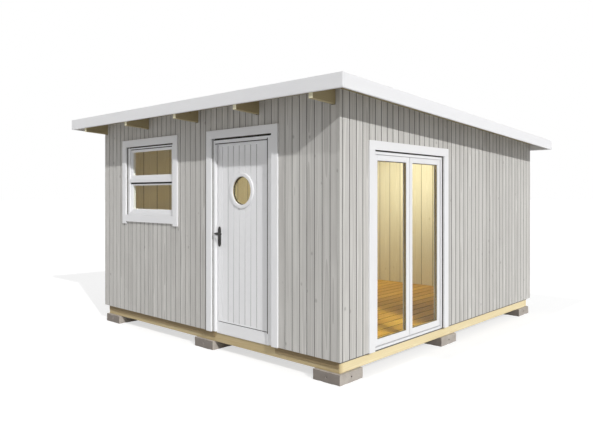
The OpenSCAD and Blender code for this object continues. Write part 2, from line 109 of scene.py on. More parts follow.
lens = bpy.data.cameras.new("photo_camera")
lens.sensor_width = 36.0
lens.lens = FOCAL_PX * lens.sensor_width / IMAGE_W
lens.shift_x = (IMAGE_W / 2 - PRINCIPAL_PX) / IMAGE_W
lens.shift_y = (HORIZON_PX - IMAGE_H / 2) / IMAGE_W
camera = bpy.data.objects.new("photo_camera", lens)
camera.location = CAMERA_SPOT
camera.rotation_euler = (math.pi / 2, 0.0, CAMERA_TURN)
bpy.context.scene.collection.objects.link(camera)
bpy.context.scene.camera = camera
print("lens", round(lens.lens, 2), "mm, shift", round(lens.shift_x, 4), round(lens.shift_y, 4))

# %% [markdown]
# ## Working planes
# A joiner works on a wall lying flat: along it, up it, and out of it. Each wall gets such a plane as a
# matrix, so that the same few functions can board the front, the sides, the floor and the roof. The
# roof's plane is sheared instead of turned, which keeps the ends of its boards plumb.

# %% Planes of the walls, the roof and the floor


def plane(origin, along, up, out):
    matrix = Matrix((along, up, out)).transposed().to_4x4()
    matrix.translation = Vector(origin)
    return matrix


front = plane((0, Y_FRONT, 0), (1, 0, 0), (0, 0, 1), (0, -1, 0))
right = plane((X_RIGHT, 0, 0), (0, 1, 0), (0, 0, 1), (1, 0, 0))
back = plane((0, Y_BACK, 0), (-1, 0, 0), (0, 0, 1), (0, 1, 0))
left = plane((X_LEFT, 0, 0), (0, -1, 0), (0, 0, 1), (-1, 0, 0))
ROOF_UNDER = wall_top(eave_low.y)
roof = plane((0, eave_low.y, ROOF_UNDER), (1, 0, 0), (0, 1, -ROOF_FALL), (0, 0, 1))
world_axes = Matrix.Identity(4)
print("roof boards start at", round(ROOF_UNDER, 3), "m over the ground")

# %% [markdown]
# ## What a board remembers
# Every board is a closed solid of its own, with eased edges, a random tone and its own run of grain.
# A texture in plain object space would run on from board to board, so each vertex also stores its place
# in its board: across it, along it, and through it. The finishes read that, and grain follows the wood.
# A last number tells how dark a face is painted: dirt on the sides of joints where rain leaves it, and
# painted shade on the face of the front rim joist.

# %% Grain, tone and edges
draw = random.Random(7)
GRAIN_ORDER = {"u": (1, 0, 2), "v": (0, 1, 2), "w": (0, 2, 1)}
PITH_ASIDE, LOG_LENGTH, PITH_BEHIND = 0.03, 40, (0.02, 0.08)
SHARP_DOT = 0.9


def joinery():
    """An empty mesh with room for grain, tone and the size of each bevel."""
    bm = bmesh.new()
    bm.verts.layers.float_vector.new("grain")
    bm.verts.layers.float.new("tone")
    bm.verts.layers.float.new("grime_and_shade")
    bm.edges.layers.float.new("bevel_weight_edge")
    return bm


def stamp(bm, verts, local, along):
    """Stores the place of each vertex in its board, and one tone for all of them."""
    grain = bm.verts.layers.float_vector["grain"]
    tone = bm.verts.layers.float["tone"]
    shift = Vector((draw.uniform(-PITH_ASIDE, PITH_ASIDE), draw.uniform(0, LOG_LENGTH),
                    draw.uniform(*PITH_BEHIND)))
    shade = draw.random()
    centre = sum(local, Vector()) / len(local)
    order = GRAIN_ORDER[along]
    for vert, spot in zip(verts, local):
        place = Vector((spot - centre)[k] for k in order)
        vert[grain] = place + shift
        vert[tone] = shade


def ease_edges(bm, faces, weight):
    """Marks the sharp edges of these faces for a bevel of that share of the piece's bevel."""
    layer = bm.edges.layers.float["bevel_weight_edge"]
    for face in faces:
        face.normal_update()
    for edge in {e for f in faces for e in f.edges}:
        if len(edge.link_faces) == 2:
            one, two = edge.link_faces
            if one.normal.dot(two.normal) < SHARP_DOT:
                edge[layer] = weight


print("grain and tone are drawn with a fixed seed, so every run gives the same boards")

# %% [markdown]
# ## One board
# A plain board is a box. Where an opening or a rafter takes a notch out of it, the box becomes a small
# grid of cells, and the cells of the notch are left out. A Boolean could cut notches too, but the grid
# keeps the solid closed and its long edges whole, so that each can carry its own bevel.

# %% Boards with notches
TINY = 1e-6


def board(bm, place, u, v, w, along="v", holes=(), groove=0.0, ease=0.3, grime_and_shade=(0.0, 0.0)):
    """A board from u[0] to u[1] and v[0] to v[1], with its good face at w[0]. The top v[1] may be a
    function of u. Holes are (u0, u1, v0, v1). Groove is the bevel of the long edges of the good face,
    and grime is how dark the good face and the back are painted: dirt in joints, and painted shade on
    the front rim joist's face."""
    top = v[1] if callable(v[1]) else lambda _: v[1]
    inside = [h for h in holes if h[0] < u[1] - TINY and h[1] > u[0] + TINY]
    us = sorted({u[0], u[1], *(x for h in inside for x in h[:2] if u[0] < x < u[1])})
    vs = sorted({v[0], *(z for h in inside for z in h[2:] if v[0] < z < top(u[0]))})

    def level(i, j):
        return vs[j] if j < len(vs) else top(us[i])

    def solid(i, j):
        if not (0 <= i < len(us) - 1 and 0 <= j < len(vs)):
            return False
        x, z = (us[i] + us[i + 1]) / 2, (level(i, j) + level(i, j + 1)) / 2
        return not any(h[0] < x < h[1] and h[2] < z < h[3] for h in inside)

    made, local = {}, []

    def corner(i, j, side):
        if (i, j, side) not in made:
            spot = Vector((us[i], level(i, j), w[side]))
            made[i, j, side] = bm.verts.new(place @ spot)
            local.append(spot)
        return made[i, j, side]

    faces, long_edges = [], []
    for i in range(len(us) - 1):
        for j in range(len(vs)):
            if not solid(i, j):
                continue
            ring = [(i, j), (i + 1, j), (i + 1, j + 1), (i, j + 1)]
            faces.append(bm.faces.new([corner(*c, 0) for c in ring]))
            faces.append(bm.faces.new([corner(*c, 1) for c in reversed(ring)]))
            beside = [(i, j - 1), (i + 1, j), (i, j + 1), (i - 1, j)]
            for k, other in enumerate(beside):
                if solid(*other):
                    continue
                a, b = ring[k], ring[(k + 1) % 4]
                faces.append(bm.faces.new([corner(*b, 0), corner(*a, 0), corner(*a, 1), corner(*b, 1)]))
                if a[0] == b[0] and us[a[0]] in u:
                    long_edges.append((corner(*a, 0), corner(*b, 0)))
    stamp(bm, list(made.values()), local, along)
    dirt_and_shade = bm.verts.layers.float["grime_and_shade"]
    for (_, _, side), vert in made.items():
        vert[dirt_and_shade] = grime_and_shade[side]
    ease_edges(bm, faces, ease)
    layer = bm.edges.layers.float["bevel_weight_edge"]
    for pair in long_edges:
        if groove:
            bm.edges.get(pair)[layer] = groove


# %% [markdown]
# ## From mesh to piece
# A finished mesh becomes an object with one finish. The bevel stays a modifier that reads the weights
# stored on the edges: one modifier then gives a wide V on the cladding's long edges and a fine easing
# elsewhere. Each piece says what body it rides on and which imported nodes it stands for.


def as_object(name, bm):
    mesh = bpy.data.meshes.new(name)
    bm.to_mesh(mesh)
    bm.free()
    obj = bpy.data.objects.new(name, mesh)
    bpy.context.scene.collection.objects.link(obj)
    return obj


def piece(name, bm, finish, body="shed", stands_for=(), bevel=0.0, segments=1, smooth=False):
    bmesh.ops.recalc_face_normals(bm, faces=bm.faces)
    obj = as_object(name, bm)
    obj.data.materials.append(finish)
    if smooth:
        obj.data.shade_smooth()
    if bevel:
        easing = obj.modifiers.new("eased_edges", "BEVEL")
        easing.limit_method = "WEIGHT"
        easing.width = bevel
        easing.segments = segments
    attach(obj, body)
    if stands_for:
        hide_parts(*stands_for)
    print(name, "has", len(obj.data.polygons), "faces and rides on", body)
    return obj


# %% [markdown]
# ## Finishes for wood
# Stain, paint and bare pine are the same wood with more or less of its figure showing. One recipe makes
# them all. Rings round a pith line behind the board give the flat-sawn figure, a noise drawn out along
# the board gives its fibres, a broad one gives slow changes of tone, and small cells give the knots.
# All of them mix between a pale and a deep colour. An image would do, but it would repeat.

# %% Colours and nodes


def colour(*rgb):
    """A colour as a painter reads it, 0 to 255, in the linear numbers that shaders use."""
    parts = [c / 255 for c in rgb]
    return (*(c / 12.92 if c <= 0.04045 else ((c + 0.055) / 1.055) ** 2.4 for c in parts), 1.0)


def add(tree, kind, inputs=None, **settings):
    made = tree.nodes.new(kind)
    for key, value in settings.items():
        setattr(made, key, value)
    for key, value in (inputs or {}).items():
        if isinstance(value, bpy.types.NodeSocket):
            tree.links.new(value, made.inputs[key])
        else:
            made.inputs[key].default_value = value
    return made


def new_finish(name):
    finish = bpy.data.materials.new(name)
    finish.use_nodes = True
    return finish, finish.node_tree, finish.node_tree.nodes["Principled BSDF"]


def mixed(tree, factor, one, two):
    """A mix of two colours, each a colour or a socket."""
    return add(tree, "ShaderNodeMix", {0: factor, 6: one, 7: two}, data_type="RGBA").outputs[2]


# %% Sums, noises and bump


def weighted(tree, start, *terms):
    """start plus each socket times its weight."""
    total = start
    for socket, weight in terms:
        total = add(tree, "ShaderNodeMath", {0: socket, 1: weight, 2: total},
                    operation="MULTIPLY_ADD").outputs[0]
    return total


def stretched(tree, vector, scale):
    return add(tree, "ShaderNodeVectorMath", {0: vector, 1: scale}, operation="MULTIPLY").outputs[0]


def cloudy(tree, spot, scale, detail):
    return add(tree, "ShaderNodeTexNoise", {"Vector": spot, "Scale": scale, "Detail": detail}).outputs["Fac"]


def limited(tree, share):
    return add(tree, "ShaderNodeClamp", {"Value": share}).outputs[0]


def roughen(tree, shader, height, strength, distance):
    """Bump for what is too fine to model. Distance is the real depth in metres."""
    bump = add(tree, "ShaderNodeBump", {"Height": height, "Strength": strength, "Distance": distance})
    tree.links.new(bump.outputs["Normal"], shader.inputs["Normal"])


# %% The wood recipe
GRAIN_DEEP = 0.001


def wood_finish(name, pale, deep, dirt_and_shade, rings, fibres, mottle, tones, knots=0.0, rough=0.6, relief=0.25,
                ring_scale=55.0):
    """The shares say how much each cause moves the colour from pale towards deep. Dirt colours
    joints, and also paints shade on a face marked for it.
    """
    finish, tree, shader = new_finish(name)
    grain = add(tree, "ShaderNodeAttribute", attribute_name="grain").outputs["Vector"]
    tone = add(tree, "ShaderNodeAttribute", attribute_name="tone").outputs["Fac"]
    bend = add(tree, "ShaderNodeTexNoise", {"Vector": stretched(tree, grain, (4, 0.9, 4)), "Scale": 1.0})
    bent = add(tree, "ShaderNodeVectorMath", {0: bend.outputs["Color"], 1: (0.03, 0.0, 0.03), 2: grain},
               operation="MULTIPLY_ADD").outputs[0]
    ring = add(tree, "ShaderNodeTexWave",
               {"Vector": stretched(tree, bent, (1, 0.04, 1)), "Scale": ring_scale, "Distortion": 1.5,
                "Detail": 2.0, "Detail Scale": 0.6},
               wave_type="RINGS", rings_direction="Y", wave_profile="SAW").outputs["Fac"]
    fibre = cloudy(tree, stretched(tree, grain, (260, 5, 260)), 1.0, 3.0)
    broad = cloudy(tree, stretched(tree, grain, (9, 1.3, 9)), 1.0, 3.0)
    cell = add(tree, "ShaderNodeTexVoronoi",
               {"Vector": stretched(tree, bent, (6.0, 4.5, 6.0)), "Scale": 1.0}).outputs["Distance"]
    knot = add(tree, "ShaderNodeMapRange",
               {"Value": cell, "From Min": 0.04, "From Max": 0.10, "To Min": 1.0, "To Max": 0.0}).outputs[0]
    share = weighted(tree, -0.5 * (rings + fibres + mottle + tones) + 0.4, (ring, rings), (fibre, fibres),
                     (broad, mottle), (tone, tones), (knot, knots))
    clean = mixed(tree, limited(tree, share), colour(*pale), colour(*deep))
    # Grime darkens joints with dirt, and paints shade on faces marked for it.
    grime_and_shade = add(tree, "ShaderNodeAttribute", attribute_name="grime_and_shade").outputs["Fac"]
    darkening_share = add(tree, "ShaderNodeMapRange", {"Value": grime_and_shade, "From Min": 0.05, "From Max": 0.45}).outputs[0]
    tree.links.new(mixed(tree, darkening_share, clean, colour(*dirt_and_shade)), shader.inputs["Base Color"])
    gloss = weighted(tree, rough - 0.08, (fibre, 0.16))
    tree.links.new(gloss, shader.inputs["Roughness"])
    roughen(tree, shader, weighted(tree, 0.0, (fibre, 0.7), (ring, 0.3)), relief, GRAIN_DEEP)
    return finish


# %% Seven finishes of wood
stained_board = wood_finish("stained_board", (209, 207, 203), (163, 160, 156), (104, 102, 99),
                            0.42, 0.45, 0.50, 0.22, knots=0.60, rough=0.72, ring_scale=26.0)
white_paint = wood_finish("white_paint", (237, 237, 238), (220, 220, 222), (150, 149, 147),
                          0.10, 0.25, 0.45, 0.15, rough=0.48, relief=0.12)
fresh_pine = wood_finish("fresh_pine", (240, 226, 186), (212, 188, 134), (120, 98, 62),
                         0.55, 0.25, 0.45, 0.35, knots=0.9, rough=0.6)
# Aged pine is fresh pine's recipe in darker colours: painted shade for the rafters, the roof boards and the
# round window's sleeve and room ring, which stand in shadow.
weathered_pine_painted_shade = wood_finish("weathered_pine_painted_shade", (172, 159, 124), (139, 123, 88), (82, 69, 46),
                        0.55, 0.25, 0.45, 0.35, knots=0.9, rough=0.7)
# Stained pine is darker still: painted shade for the battens in the cladding's shadow and for the room beads
# seen through the glazed doors.
dark_pine_painted_shade = wood_finish("dark_pine_painted_shade", (150, 131, 96), (122, 102, 70), (70, 56, 36),
                           0.55, 0.25, 0.45, 0.35, knots=0.9, rough=0.75)
lining_pine = wood_finish("lining_pine", (238, 232, 204), (210, 202, 164), (112, 96, 52),
                          0.45, 0.25, 0.55, 0.35, knots=0.8, rough=0.55)
floor_pine = wood_finish("floor_pine", (238, 188, 66), (200, 142, 32), (58, 38, 14),
                         0.45, 0.25, 0.45, 0.6, knots=0.7, rough=0.42)
for finish in (stained_board, white_paint, fresh_pine, weathered_pine_painted_shade, dark_pine_painted_shade, lining_pine, floor_pine):
    print("wood finish", finish.name, "has", len(finish.node_tree.nodes), "nodes")

# %% [markdown]
# ## Walls
# The walls are upright boards about 88 mm wide with a sunk joint between them, and no corner trim: the
# side walls run past the front, so a narrow strip starts each side. A bump could draw the lines, but at
# an eave the joints show in outline and the sun reaches into them, so every board is real. A backing
# stands for the tongues that close the joints. Behind it lie the studs and the lining of wide planks.

# %% Boards side by side, and one wall of them
CLAD_T, CLAD_FACE, BOARD_W = 0.020, 0.0055, 0.0885
LINING_T, LINING_FACE, LINING_W, LINING_JOINT = 0.014, 0.004, 0.195, 0.006
V_JOINT = 0.0015


def side_by_side(bm, wall, span, v, w, count, joint, holes=(), grime_and_shade=(0.0, 1.0)):
    """Equal boards with open joints between them."""
    step = (span[1] - span[0]) / count
    for k in range(count):
        u = (span[0] + k * step + joint / 2, span[0] + (k + 1) * step - joint / 2)
        board(bm, wall, u, v, w, "v", holes, groove=1.0, ease=0.5, grime_and_shade=grime_and_shade)


def boarded(bm, wall, span, v, w, width, joint, face, holes=()):
    """Boards of about that width, and a backing behind them. W is the good face and the back."""
    count = round((span[1] - span[0]) / width)
    back = w[0] + math.copysign(face, w[1] - w[0])
    side_by_side(bm, wall, span, v, (w[0], back), count, joint, holes)
    board(bm, wall, span, v, (back, w[1]), "v", holes, ease=0.0, grime_and_shade=(1.0, 1.0))
    return count


def wall_pieces(name, wall, outer, inner, top, lining_top, core_top, holes, notches, nodes):
    """Cladding between the outer limits, studs and lining between the inner ones."""
    bm = joinery()
    for strip in outer["strips"]:
        board(bm, wall, strip, (BASE_Z, top), (0, -CLAD_T), groove=1.0, ease=0.5)
    count = boarded(bm, wall, outer["boards"], (BASE_Z, top), (0, -CLAD_T), BOARD_W, outer["joint"],
                    CLAD_FACE, holes + notches)
    piece(f"{name}_boards", bm, stained_board, stands_for=nodes, bevel=V_JOINT)
    bm = joinery()
    boarded(bm, wall, inner, (BASE_Z, lining_top), (-WALL_T, LINING_T - WALL_T), LINING_W, LINING_JOINT,
            LINING_FACE, holes + notches)
    piece(f"{name}_lining", bm, lining_pine, bevel=V_JOINT)
    bm = joinery()
    board(bm, wall, outer["core"], (BASE_Z, core_top), (-CLAD_T, LINING_T - WALL_T),
          holes=holes + notches, ease=0)
    piece(f"{name}_studs", bm, fresh_pine)
    print(name, "has", count, "boards")


# %% Front and back wall
END_JOINT, NOTCH_FIT = 0.0065, 0.001


def rafter_notches(face_y, flip=1):
    low = wall_top(face_y) - RAFTER_H - NOTCH_FIT
    spans = [(x - NOTCH_FIT, x + RAFTER_W + NOTCH_FIT) for x in rafter_xs]
    return [(*sorted((flip * a, flip * b)), low, UP) for a, b in spans]


between = (X_LEFT + CLAD_T, X_RIGHT - CLAD_T)
end_span = {"strips": [], "boards": between, "core": between, "joint": END_JOINT}
wall_pieces("front_wall", front, end_span, (X_LEFT + WALL_T, X_RIGHT - WALL_T),
            wall_top(Y_FRONT + CLAD_T), wall_top(Y_FRONT + WALL_T), wall_top(Y_FRONT + WALL_T),
            [window_hole, door_hole], rafter_notches(Y_FRONT + WALL_T),
            ["front_wall_left", "front_wall_under_window", "front_wall_over_window", "front_wall_middle",
             "front_wall_over_door", "front_wall_right"])
wall_pieces("back_wall", back, end_span, (X_LEFT + WALL_T, X_RIGHT - WALL_T),
            wall_top(Y_BACK), wall_top(Y_BACK), wall_top(Y_BACK),
            [], rafter_notches(Y_BACK, flip=-1), ["back_wall"])

# %% Side walls, with a narrow strip at each end
SIDE_JOINT, STRIP_W = 0.0080, 0.035


def side_span(sign):
    ends = sorted((sign * Y_FRONT, sign * Y_BACK))
    body = (ends[0] + STRIP_W, ends[1] - STRIP_W)
    deep = WALL_T - LINING_T
    half = SIDE_JOINT / 2
    outer = {"strips": [(ends[0], body[0] - half), (body[1] + half, ends[1])], "boards": body,
             "core": (ends[0] + deep, ends[1] - deep), "joint": SIDE_JOINT}
    return outer, (ends[0] + WALL_T, ends[1] - WALL_T)


def under_rafter(y):
    return wall_top(y) - RAFTER_H - NOTCH_FIT


wall_pieces("right_wall", right, *side_span(1), wall_top, under_rafter, under_rafter, [glazed_hole], [],
            ["right_wall_front", "right_wall_over_doors", "right_wall_back"])
wall_pieces("left_wall", left, *side_span(-1), lambda u: wall_top(-u), lambda u: wall_top(-u),
            lambda u: under_rafter(-u), [], [], ["left_wall"])

# %% [markdown]
# ## Concrete blocks
# The hut stands on rim joists a little behind the cladding, on nine concrete blocks. The blocks are cast:
# their faces are rough, their edges chipped, and each side has the hole of a mould pin. A bevelled cube
# would be too clean, so a fine grid is roughened by noise, more at the edges, and the holes are cut.
# The finish darkens what faces the front, read from the normal: painted shade, for the sun that only
# grazes those faces.

# %% Concrete finish


def concrete_finish():
    finish, tree, shader = new_finish("cast_concrete")
    spot = add(tree, "ShaderNodeTexCoord").outputs["Object"]
    cloud = cloudy(tree, spot, 9.0, 6.0)
    grit = cloudy(tree, spot, 160.0, 3.0)
    pit = add(tree, "ShaderNodeTexVoronoi", {"Vector": spot, "Scale": 95.0}).outputs["Distance"]
    hollow = add(tree, "ShaderNodeMapRange", {"Value": pit, "From Min": 0.1, "From Max": 0.3}).outputs[0]
    share = weighted(tree, -0.35, (cloud, 0.9), (grit, 0.75))
    base = mixed(tree, limited(tree, share), colour(200, 193, 184), colour(140, 132, 125))
    # Painted shade: faces turned to the front mix towards a darker colour.
    normal = add(tree, "ShaderNodeNewGeometry").outputs["Normal"]
    facing = add(tree, "ShaderNodeSeparateXYZ", {0: normal}).outputs["Y"]
    front_shade = add(tree, "ShaderNodeMapRange",
               {"Value": facing, "From Min": -0.3, "From Max": -0.8, "To Max": 0.75}).outputs[0]
    tree.links.new(mixed(tree, front_shade, base, colour(112, 104, 98)), shader.inputs["Base Color"])
    shader.inputs["Roughness"].default_value = 0.9
    height = weighted(tree, 0.0, (grit, 0.6), (hollow, 0.5), (cloud, 0.4))
    roughen(tree, shader, height, 0.6, 0.002)
    return finish


cast_concrete = concrete_finish()
print("concrete finish has", len(cast_concrete.node_tree.nodes), "nodes")

# %% One rough block
BLOCK_GRID = 0.0145
FACE_WEAR, FACE_CHIP = 0.0004, 0.0010
EDGE_WEAR, EDGE_CHIP = 0.0014, 0.0040
CHIP_SCALE, CHIP_SHARE = 22, 0.1


def rough_block(bm, low, high):
    """A cast block: a grid of small faces, with worn edges."""
    size = [h - l for l, h in zip(low, high)]
    counts = [max(2, round(s / BLOCK_GRID)) for s in size]
    spots = {}

    def vert(*index):
        if index not in spots:
            p = Vector(l + s * i / n for l, s, i, n in zip(low, size, index, counts))
            rims = sum(i in (0, n) for i, n in zip(index, counts))
            wear, chip = (EDGE_WEAR, EDGE_CHIP) if rims >= 2 else (FACE_WEAR, FACE_CHIP)
            wear += chip * max(0.0, noise.noise(p * CHIP_SCALE) + CHIP_SHARE)
            inwards = Vector((i == 0) - (i == n) for i, n in zip(index, counts))
            spots[index] = bm.verts.new(p + inwards * wear)
        return spots[index]

    for axis in range(3):
        a, b = [k for k in range(3) if k != axis]
        for end in (0, counts[axis]):
            for i in range(counts[a]):
                for j in range(counts[b]):
                    ring = []
                    for da, db in ((0, 0), (1, 0), (1, 1), (0, 1)):
                        index = [0, 0, 0]
                        index[axis], index[a], index[b] = end, i + da, j + db
                        ring.append(vert(*index))
                    bm.faces.new(ring)


# %% Cut a shape out of a piece


def cut_out(obj, bm):
    """Cuts the shape in bm out of a piece, for good."""
    bmesh.ops.recalc_face_normals(bm, faces=bm.faces)
    cutter = as_object("cutter", bm)
    cut = obj.modifiers.new("cut_out", "BOOLEAN")
    cut.object = cutter
    cut.solver = "EXACT"
    seen = obj.evaluated_get(bpy.context.evaluated_depsgraph_get())
    result = bpy.data.meshes.new_from_object(seen)
    obj.modifiers.clear()
    obj.data = result
    bpy.data.objects.remove(cutter)


# %% Nine blocks with holes of mould pins
block_low, block_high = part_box("front_blocks")
BLOCK_W = block_high.y - block_low.y
JOIST_DEEPER = 0.012
PIN_R, PIN_DEEP, PIN_SIDES = 0.009, 0.03, 20


def block_corners(node):
    """The three blocks of a row: at both ends of its box, and the one between them."""
    low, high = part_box(node)
    xs = sorted({round(v.co.x, 4) for v in frame["nodes"][node].data.vertices})
    return [((x, low.y, low.z), (x + BLOCK_W, high.y, high.z - JOIST_DEEPER)) for x in xs[::2]]


for node in ("front_blocks", "middle_blocks", "back_blocks"):
    bm, pins = joinery(), bmesh.new()
    for low, high in block_corners(node):
        rough_block(bm, low, high)
        middle = (Vector(low) + Vector(high)) / 2
        for angle in range(4):
            turn = Matrix.Rotation(angle * math.pi / 2, 4, "Z") @ Matrix.Rotation(math.pi / 2, 4, "X")
            reach = Matrix.Translation((0, 0, BLOCK_W / 2))
            bmesh.ops.create_cone(pins, cap_ends=True, segments=PIN_SIDES, radius1=PIN_R, radius2=PIN_R,
                                  depth=2 * PIN_DEEP, matrix=Matrix.Translation(middle) @ turn @ reach)
    blocks = piece(f"{node}_cast", bm, cast_concrete, stands_for=[node])
    cut_out(blocks, pins)

# %% [markdown]
# ## Joists, damp strip and floor
# Rim joists carry the walls, with a strip of felt folded over them that keeps the damp out of the boards.
# Its near-black is also painted shade: it gives the dark line of shadow under the cladding. At the front
# a dark batten takes its place on both sides of the door, coloured as painted shade for the cladding's
# shadow. The face of the joist below it is painted darker for the same shade. In the photograph the joists
# are a little deeper than packed, and the blocks lower, so both are drawn that way. The floor is boarded
# by the walls' own function, laid down flat, because its joints show through the glazed doors.

# %% Felt, for the damp strip and for the roof


def felt_finish():
    finish, tree, shader = new_finish("mineral_felt")
    spot = add(tree, "ShaderNodeTexCoord").outputs["Object"]
    grit = add(tree, "ShaderNodeTexVoronoi", {"Vector": spot, "Scale": 420.0}).outputs["Color"]
    grains = add(tree, "ShaderNodeSeparateColor", {"Color": grit}).outputs[0]
    share = weighted(tree, -0.2, (grains, 0.6), (cloudy(tree, spot, 1.7, 5.0), 0.8))
    base = mixed(tree, limited(tree, share), colour(62, 63, 66), colour(112, 112, 113))
    tree.links.new(base, shader.inputs["Base Color"])
    shader.inputs["Roughness"].default_value = 0.92
    roughen(tree, shader, grains, 0.5, 0.001)
    return finish


mineral_felt = felt_finish()
print("felt finish has", len(mineral_felt.node_tree.nodes), "nodes")

# %% Rim joists
FRONT_FACE_SHADE, TIMBER_EDGE = 0.24, 0.003


def timber(bm, low, high, along):
    """A squared timber that fills a box in the world's own axes."""
    board(bm, world_axes, (low[0], high[0]), (low[1], high[1]), (low[2], high[2]), along, ease=1.0)


for node, along in (("back_rim_joist", "u"), ("left_rim_joist", "v"), ("right_rim_joist", "v")):
    low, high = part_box(node)
    bm = joinery()
    timber(bm, (low.x, low.y, low.z - JOIST_DEEPER), high, along)
    piece(f"{node}_timber", bm, fresh_pine, stands_for=[node], bevel=TIMBER_EDGE, segments=2)
low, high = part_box("front_rim_joist")
bm = joinery()
# The front face is painted darker: painted shade under the overhang of the cladding.
board(bm, front, (low.x, high.x), (low.z - JOIST_DEEPER, high.z), (Y_FRONT - low.y, Y_FRONT - high.y), "u",
      ease=1.0, grime_and_shade=(FRONT_FACE_SHADE, 0.0))
piece("front_rim_joist_timber", bm, fresh_pine, stands_for=["front_rim_joist"], bevel=TIMBER_EDGE,
      segments=2)

# %% Battens and damp strip
BATTEN_T, BATTEN_H, BATTEN_IN = 0.010, 0.062, 0.014
STRIP_T, STRIP_H, STRIP_FIT, STRIP_EDGE = 0.0015, 0.024, 0.0003, 0.0003
TRIM_EDGE = 0.002
near_y, far_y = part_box("front_rim_joist")[0].y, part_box("back_rim_joist")[1].y
near_x, far_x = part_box("left_rim_joist")[0].x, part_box("right_rim_joist")[1].x
gap, edge = STRIP_FIT, STRIP_FIT + STRIP_T
bm = joinery()
# The battens are dark pine: painted shade where the cladding's shadow falls.
for start, end in ((near_x + BATTEN_IN, door_hole[0]), (door_hole[1], far_x)):
    timber(bm, (start, near_y - gap - BATTEN_T, BASE_Z - BATTEN_H), (end, near_y - gap, BASE_Z - gap), "u")
piece("front_sill_battens", bm, dark_pine_painted_shade, bevel=TRIM_EDGE)
# Its near-black felt is also painted shade, the thin line of shadow under the cladding.
strips = [((near_x - edge, far_y + gap), (far_x + edge, far_y + edge), "u"),
          ((near_x - edge, near_y), (near_x - gap, far_y), "v"),
          ((far_x + gap, near_y), (far_x + edge, far_y), "v")]
bm = joinery()
for low, high, along in strips:
    timber(bm, (*low, BASE_Z - STRIP_H), (*high, BASE_Z), along)
piece("felt_strip_painted_shade", bm, mineral_felt, bevel=STRIP_EDGE)

# %% Floor joists and deck
joist_low, joist_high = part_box("floor_joists")
JOIST_W, JOIST_COUNT = 0.045, 5
bm = joinery()
for k in range(JOIST_COUNT):
    x = joist_low.x + k * (joist_high.x - JOIST_W - joist_low.x) / (JOIST_COUNT - 1)
    timber(bm, (x, joist_low.y, joist_low.z - JOIST_DEEPER), (x + JOIST_W, joist_high.y, joist_high.z), "v")
piece("floor_joist_timbers", bm, fresh_pine, stands_for=["floor_joists"], bevel=TIMBER_EDGE)

deck_low, deck_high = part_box("floor_boards")
DECK_W, DECK_JOINT, DECK_FACE, DECK_EDGE = 0.148, 0.010, 0.006, 0.0012
bm = joinery()
boarded(bm, world_axes, (deck_low.x, deck_high.x), (deck_low.y, deck_high.y), (deck_high.z, deck_low.z),
        DECK_W, DECK_JOINT, DECK_FACE)
piece("floor_deck", bm, floor_pine, stands_for=["floor_boards"], bevel=DECK_EDGE)

# %% [markdown]
# ## Roof
# Five rafters carry boards, and white fascia boards close all four edges. The roof's plane does the work:
# in it a rafter, a roof board and a fascia are all plain boards, and the shear gives them the fall. Under
# the fascias the sawn ends of the rafters show. Each end gets a slice of pale pine, painted sunlight on the
# ends, while the sides and the boards are a darker pine, painted shade for the shadow under the roof.

# %% Rafters and roof boards
rafter_run = (rafter_low.y - eave_low.y, rafter_high.y - eave_low.y)
bm = joinery()
for x in rafter_xs:
    board(bm, roof, (x, x + RAFTER_W), rafter_run, (-RAFTER_H, 0), "v", ease=1.0)
piece("rafter_timbers", bm, weathered_pine_painted_shade, stands_for=["rafters"], bevel=TIMBER_EDGE)

roof_low, roof_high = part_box("roof_boards")
ROOF_T, ROOF_BOARD_W, ROOF_JOINT, ROOF_FACE, ROOF_FIT = 0.022, 0.095, 0.006, 0.005, 0.0003
run = (roof_low.y - eave_low.y, roof_high.y - eave_low.y)
sideways = roof @ Matrix(((0, 1, 0, 0), (1, 0, 0, 0), (0, 0, 1, 0), (0, 0, 0, 1)))
bm = joinery()
roof_count = boarded(bm, sideways, run, (roof_low.x, roof_high.x), (ROOF_FIT, ROOF_T), ROOF_BOARD_W,
                     ROOF_JOINT, ROOF_FACE)
piece("roof_boarding", bm, weathered_pine_painted_shade, stands_for=["roof_boards"], bevel=V_JOINT)
print("roof has", roof_count, "boards")

# %% Fascias and rafter ends
FASCIA_DROP, FASCIA_RISE, FASCIA_EDGE = 0.076, 0.041, 0.0025
for node, along in (("front_fascia", "u"), ("back_fascia", "u"), ("left_fascia", "v"), ("right_fascia", "v")):
    low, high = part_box(node)
    bm = joinery()
    board(bm, roof, (low.x, high.x), (low.y - eave_low.y, high.y - eave_low.y), (-FASCIA_DROP, FASCIA_RISE),
          along, ease=1.0)
    piece(f"{node}_board", bm, white_paint, stands_for=[node], bevel=FASCIA_EDGE, segments=2)

# The slices are pale pine: painted sunlight on every rafter end.
END_CUT, END_IN, SLICE_EDGE = 0.0015, 0.001, 0.0004
shown = (-RAFTER_H + END_IN, -FASCIA_DROP - END_IN)
bm = joinery()
for x in rafter_xs:
    for end in ((rafter_run[0] - END_CUT, rafter_run[0]), (rafter_run[1], rafter_run[1] + END_CUT)):
        board(bm, roof, (x + END_IN, x + RAFTER_W - END_IN), end, shown, "u")
piece("rafter_ends_painted_sunlight", bm, lining_pine, bevel=SLICE_EDGE)

# %% [markdown]
# ## Roofing felt
# Felt lies over the boards in strips that lap downhill. One plane with a bump would hide the laps, so
# each strip is a thin closed grid with a slow ripple, because felt never lies dead flat, and each lap
# shows as a real step.

# %% Strips of felt
FELT_T, FELT_LAP, STRIP_COUNT, FELT_CELLS = 0.004, 0.10, 5, (70, 14)
LAP_START, LAP_RAMP = 1.6 * FELT_LAP, 0.6 * FELT_LAP
RIPPLE_H, RIPPLE_U, RIPPLE_V = 0.0009, 2.3, 3.1
felt_low, felt_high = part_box("roofing_felt")
felt_run = (felt_low.y - eave_low.y, felt_high.y - eave_low.y)
strip_len = (felt_run[1] - felt_run[0]) / STRIP_COUNT


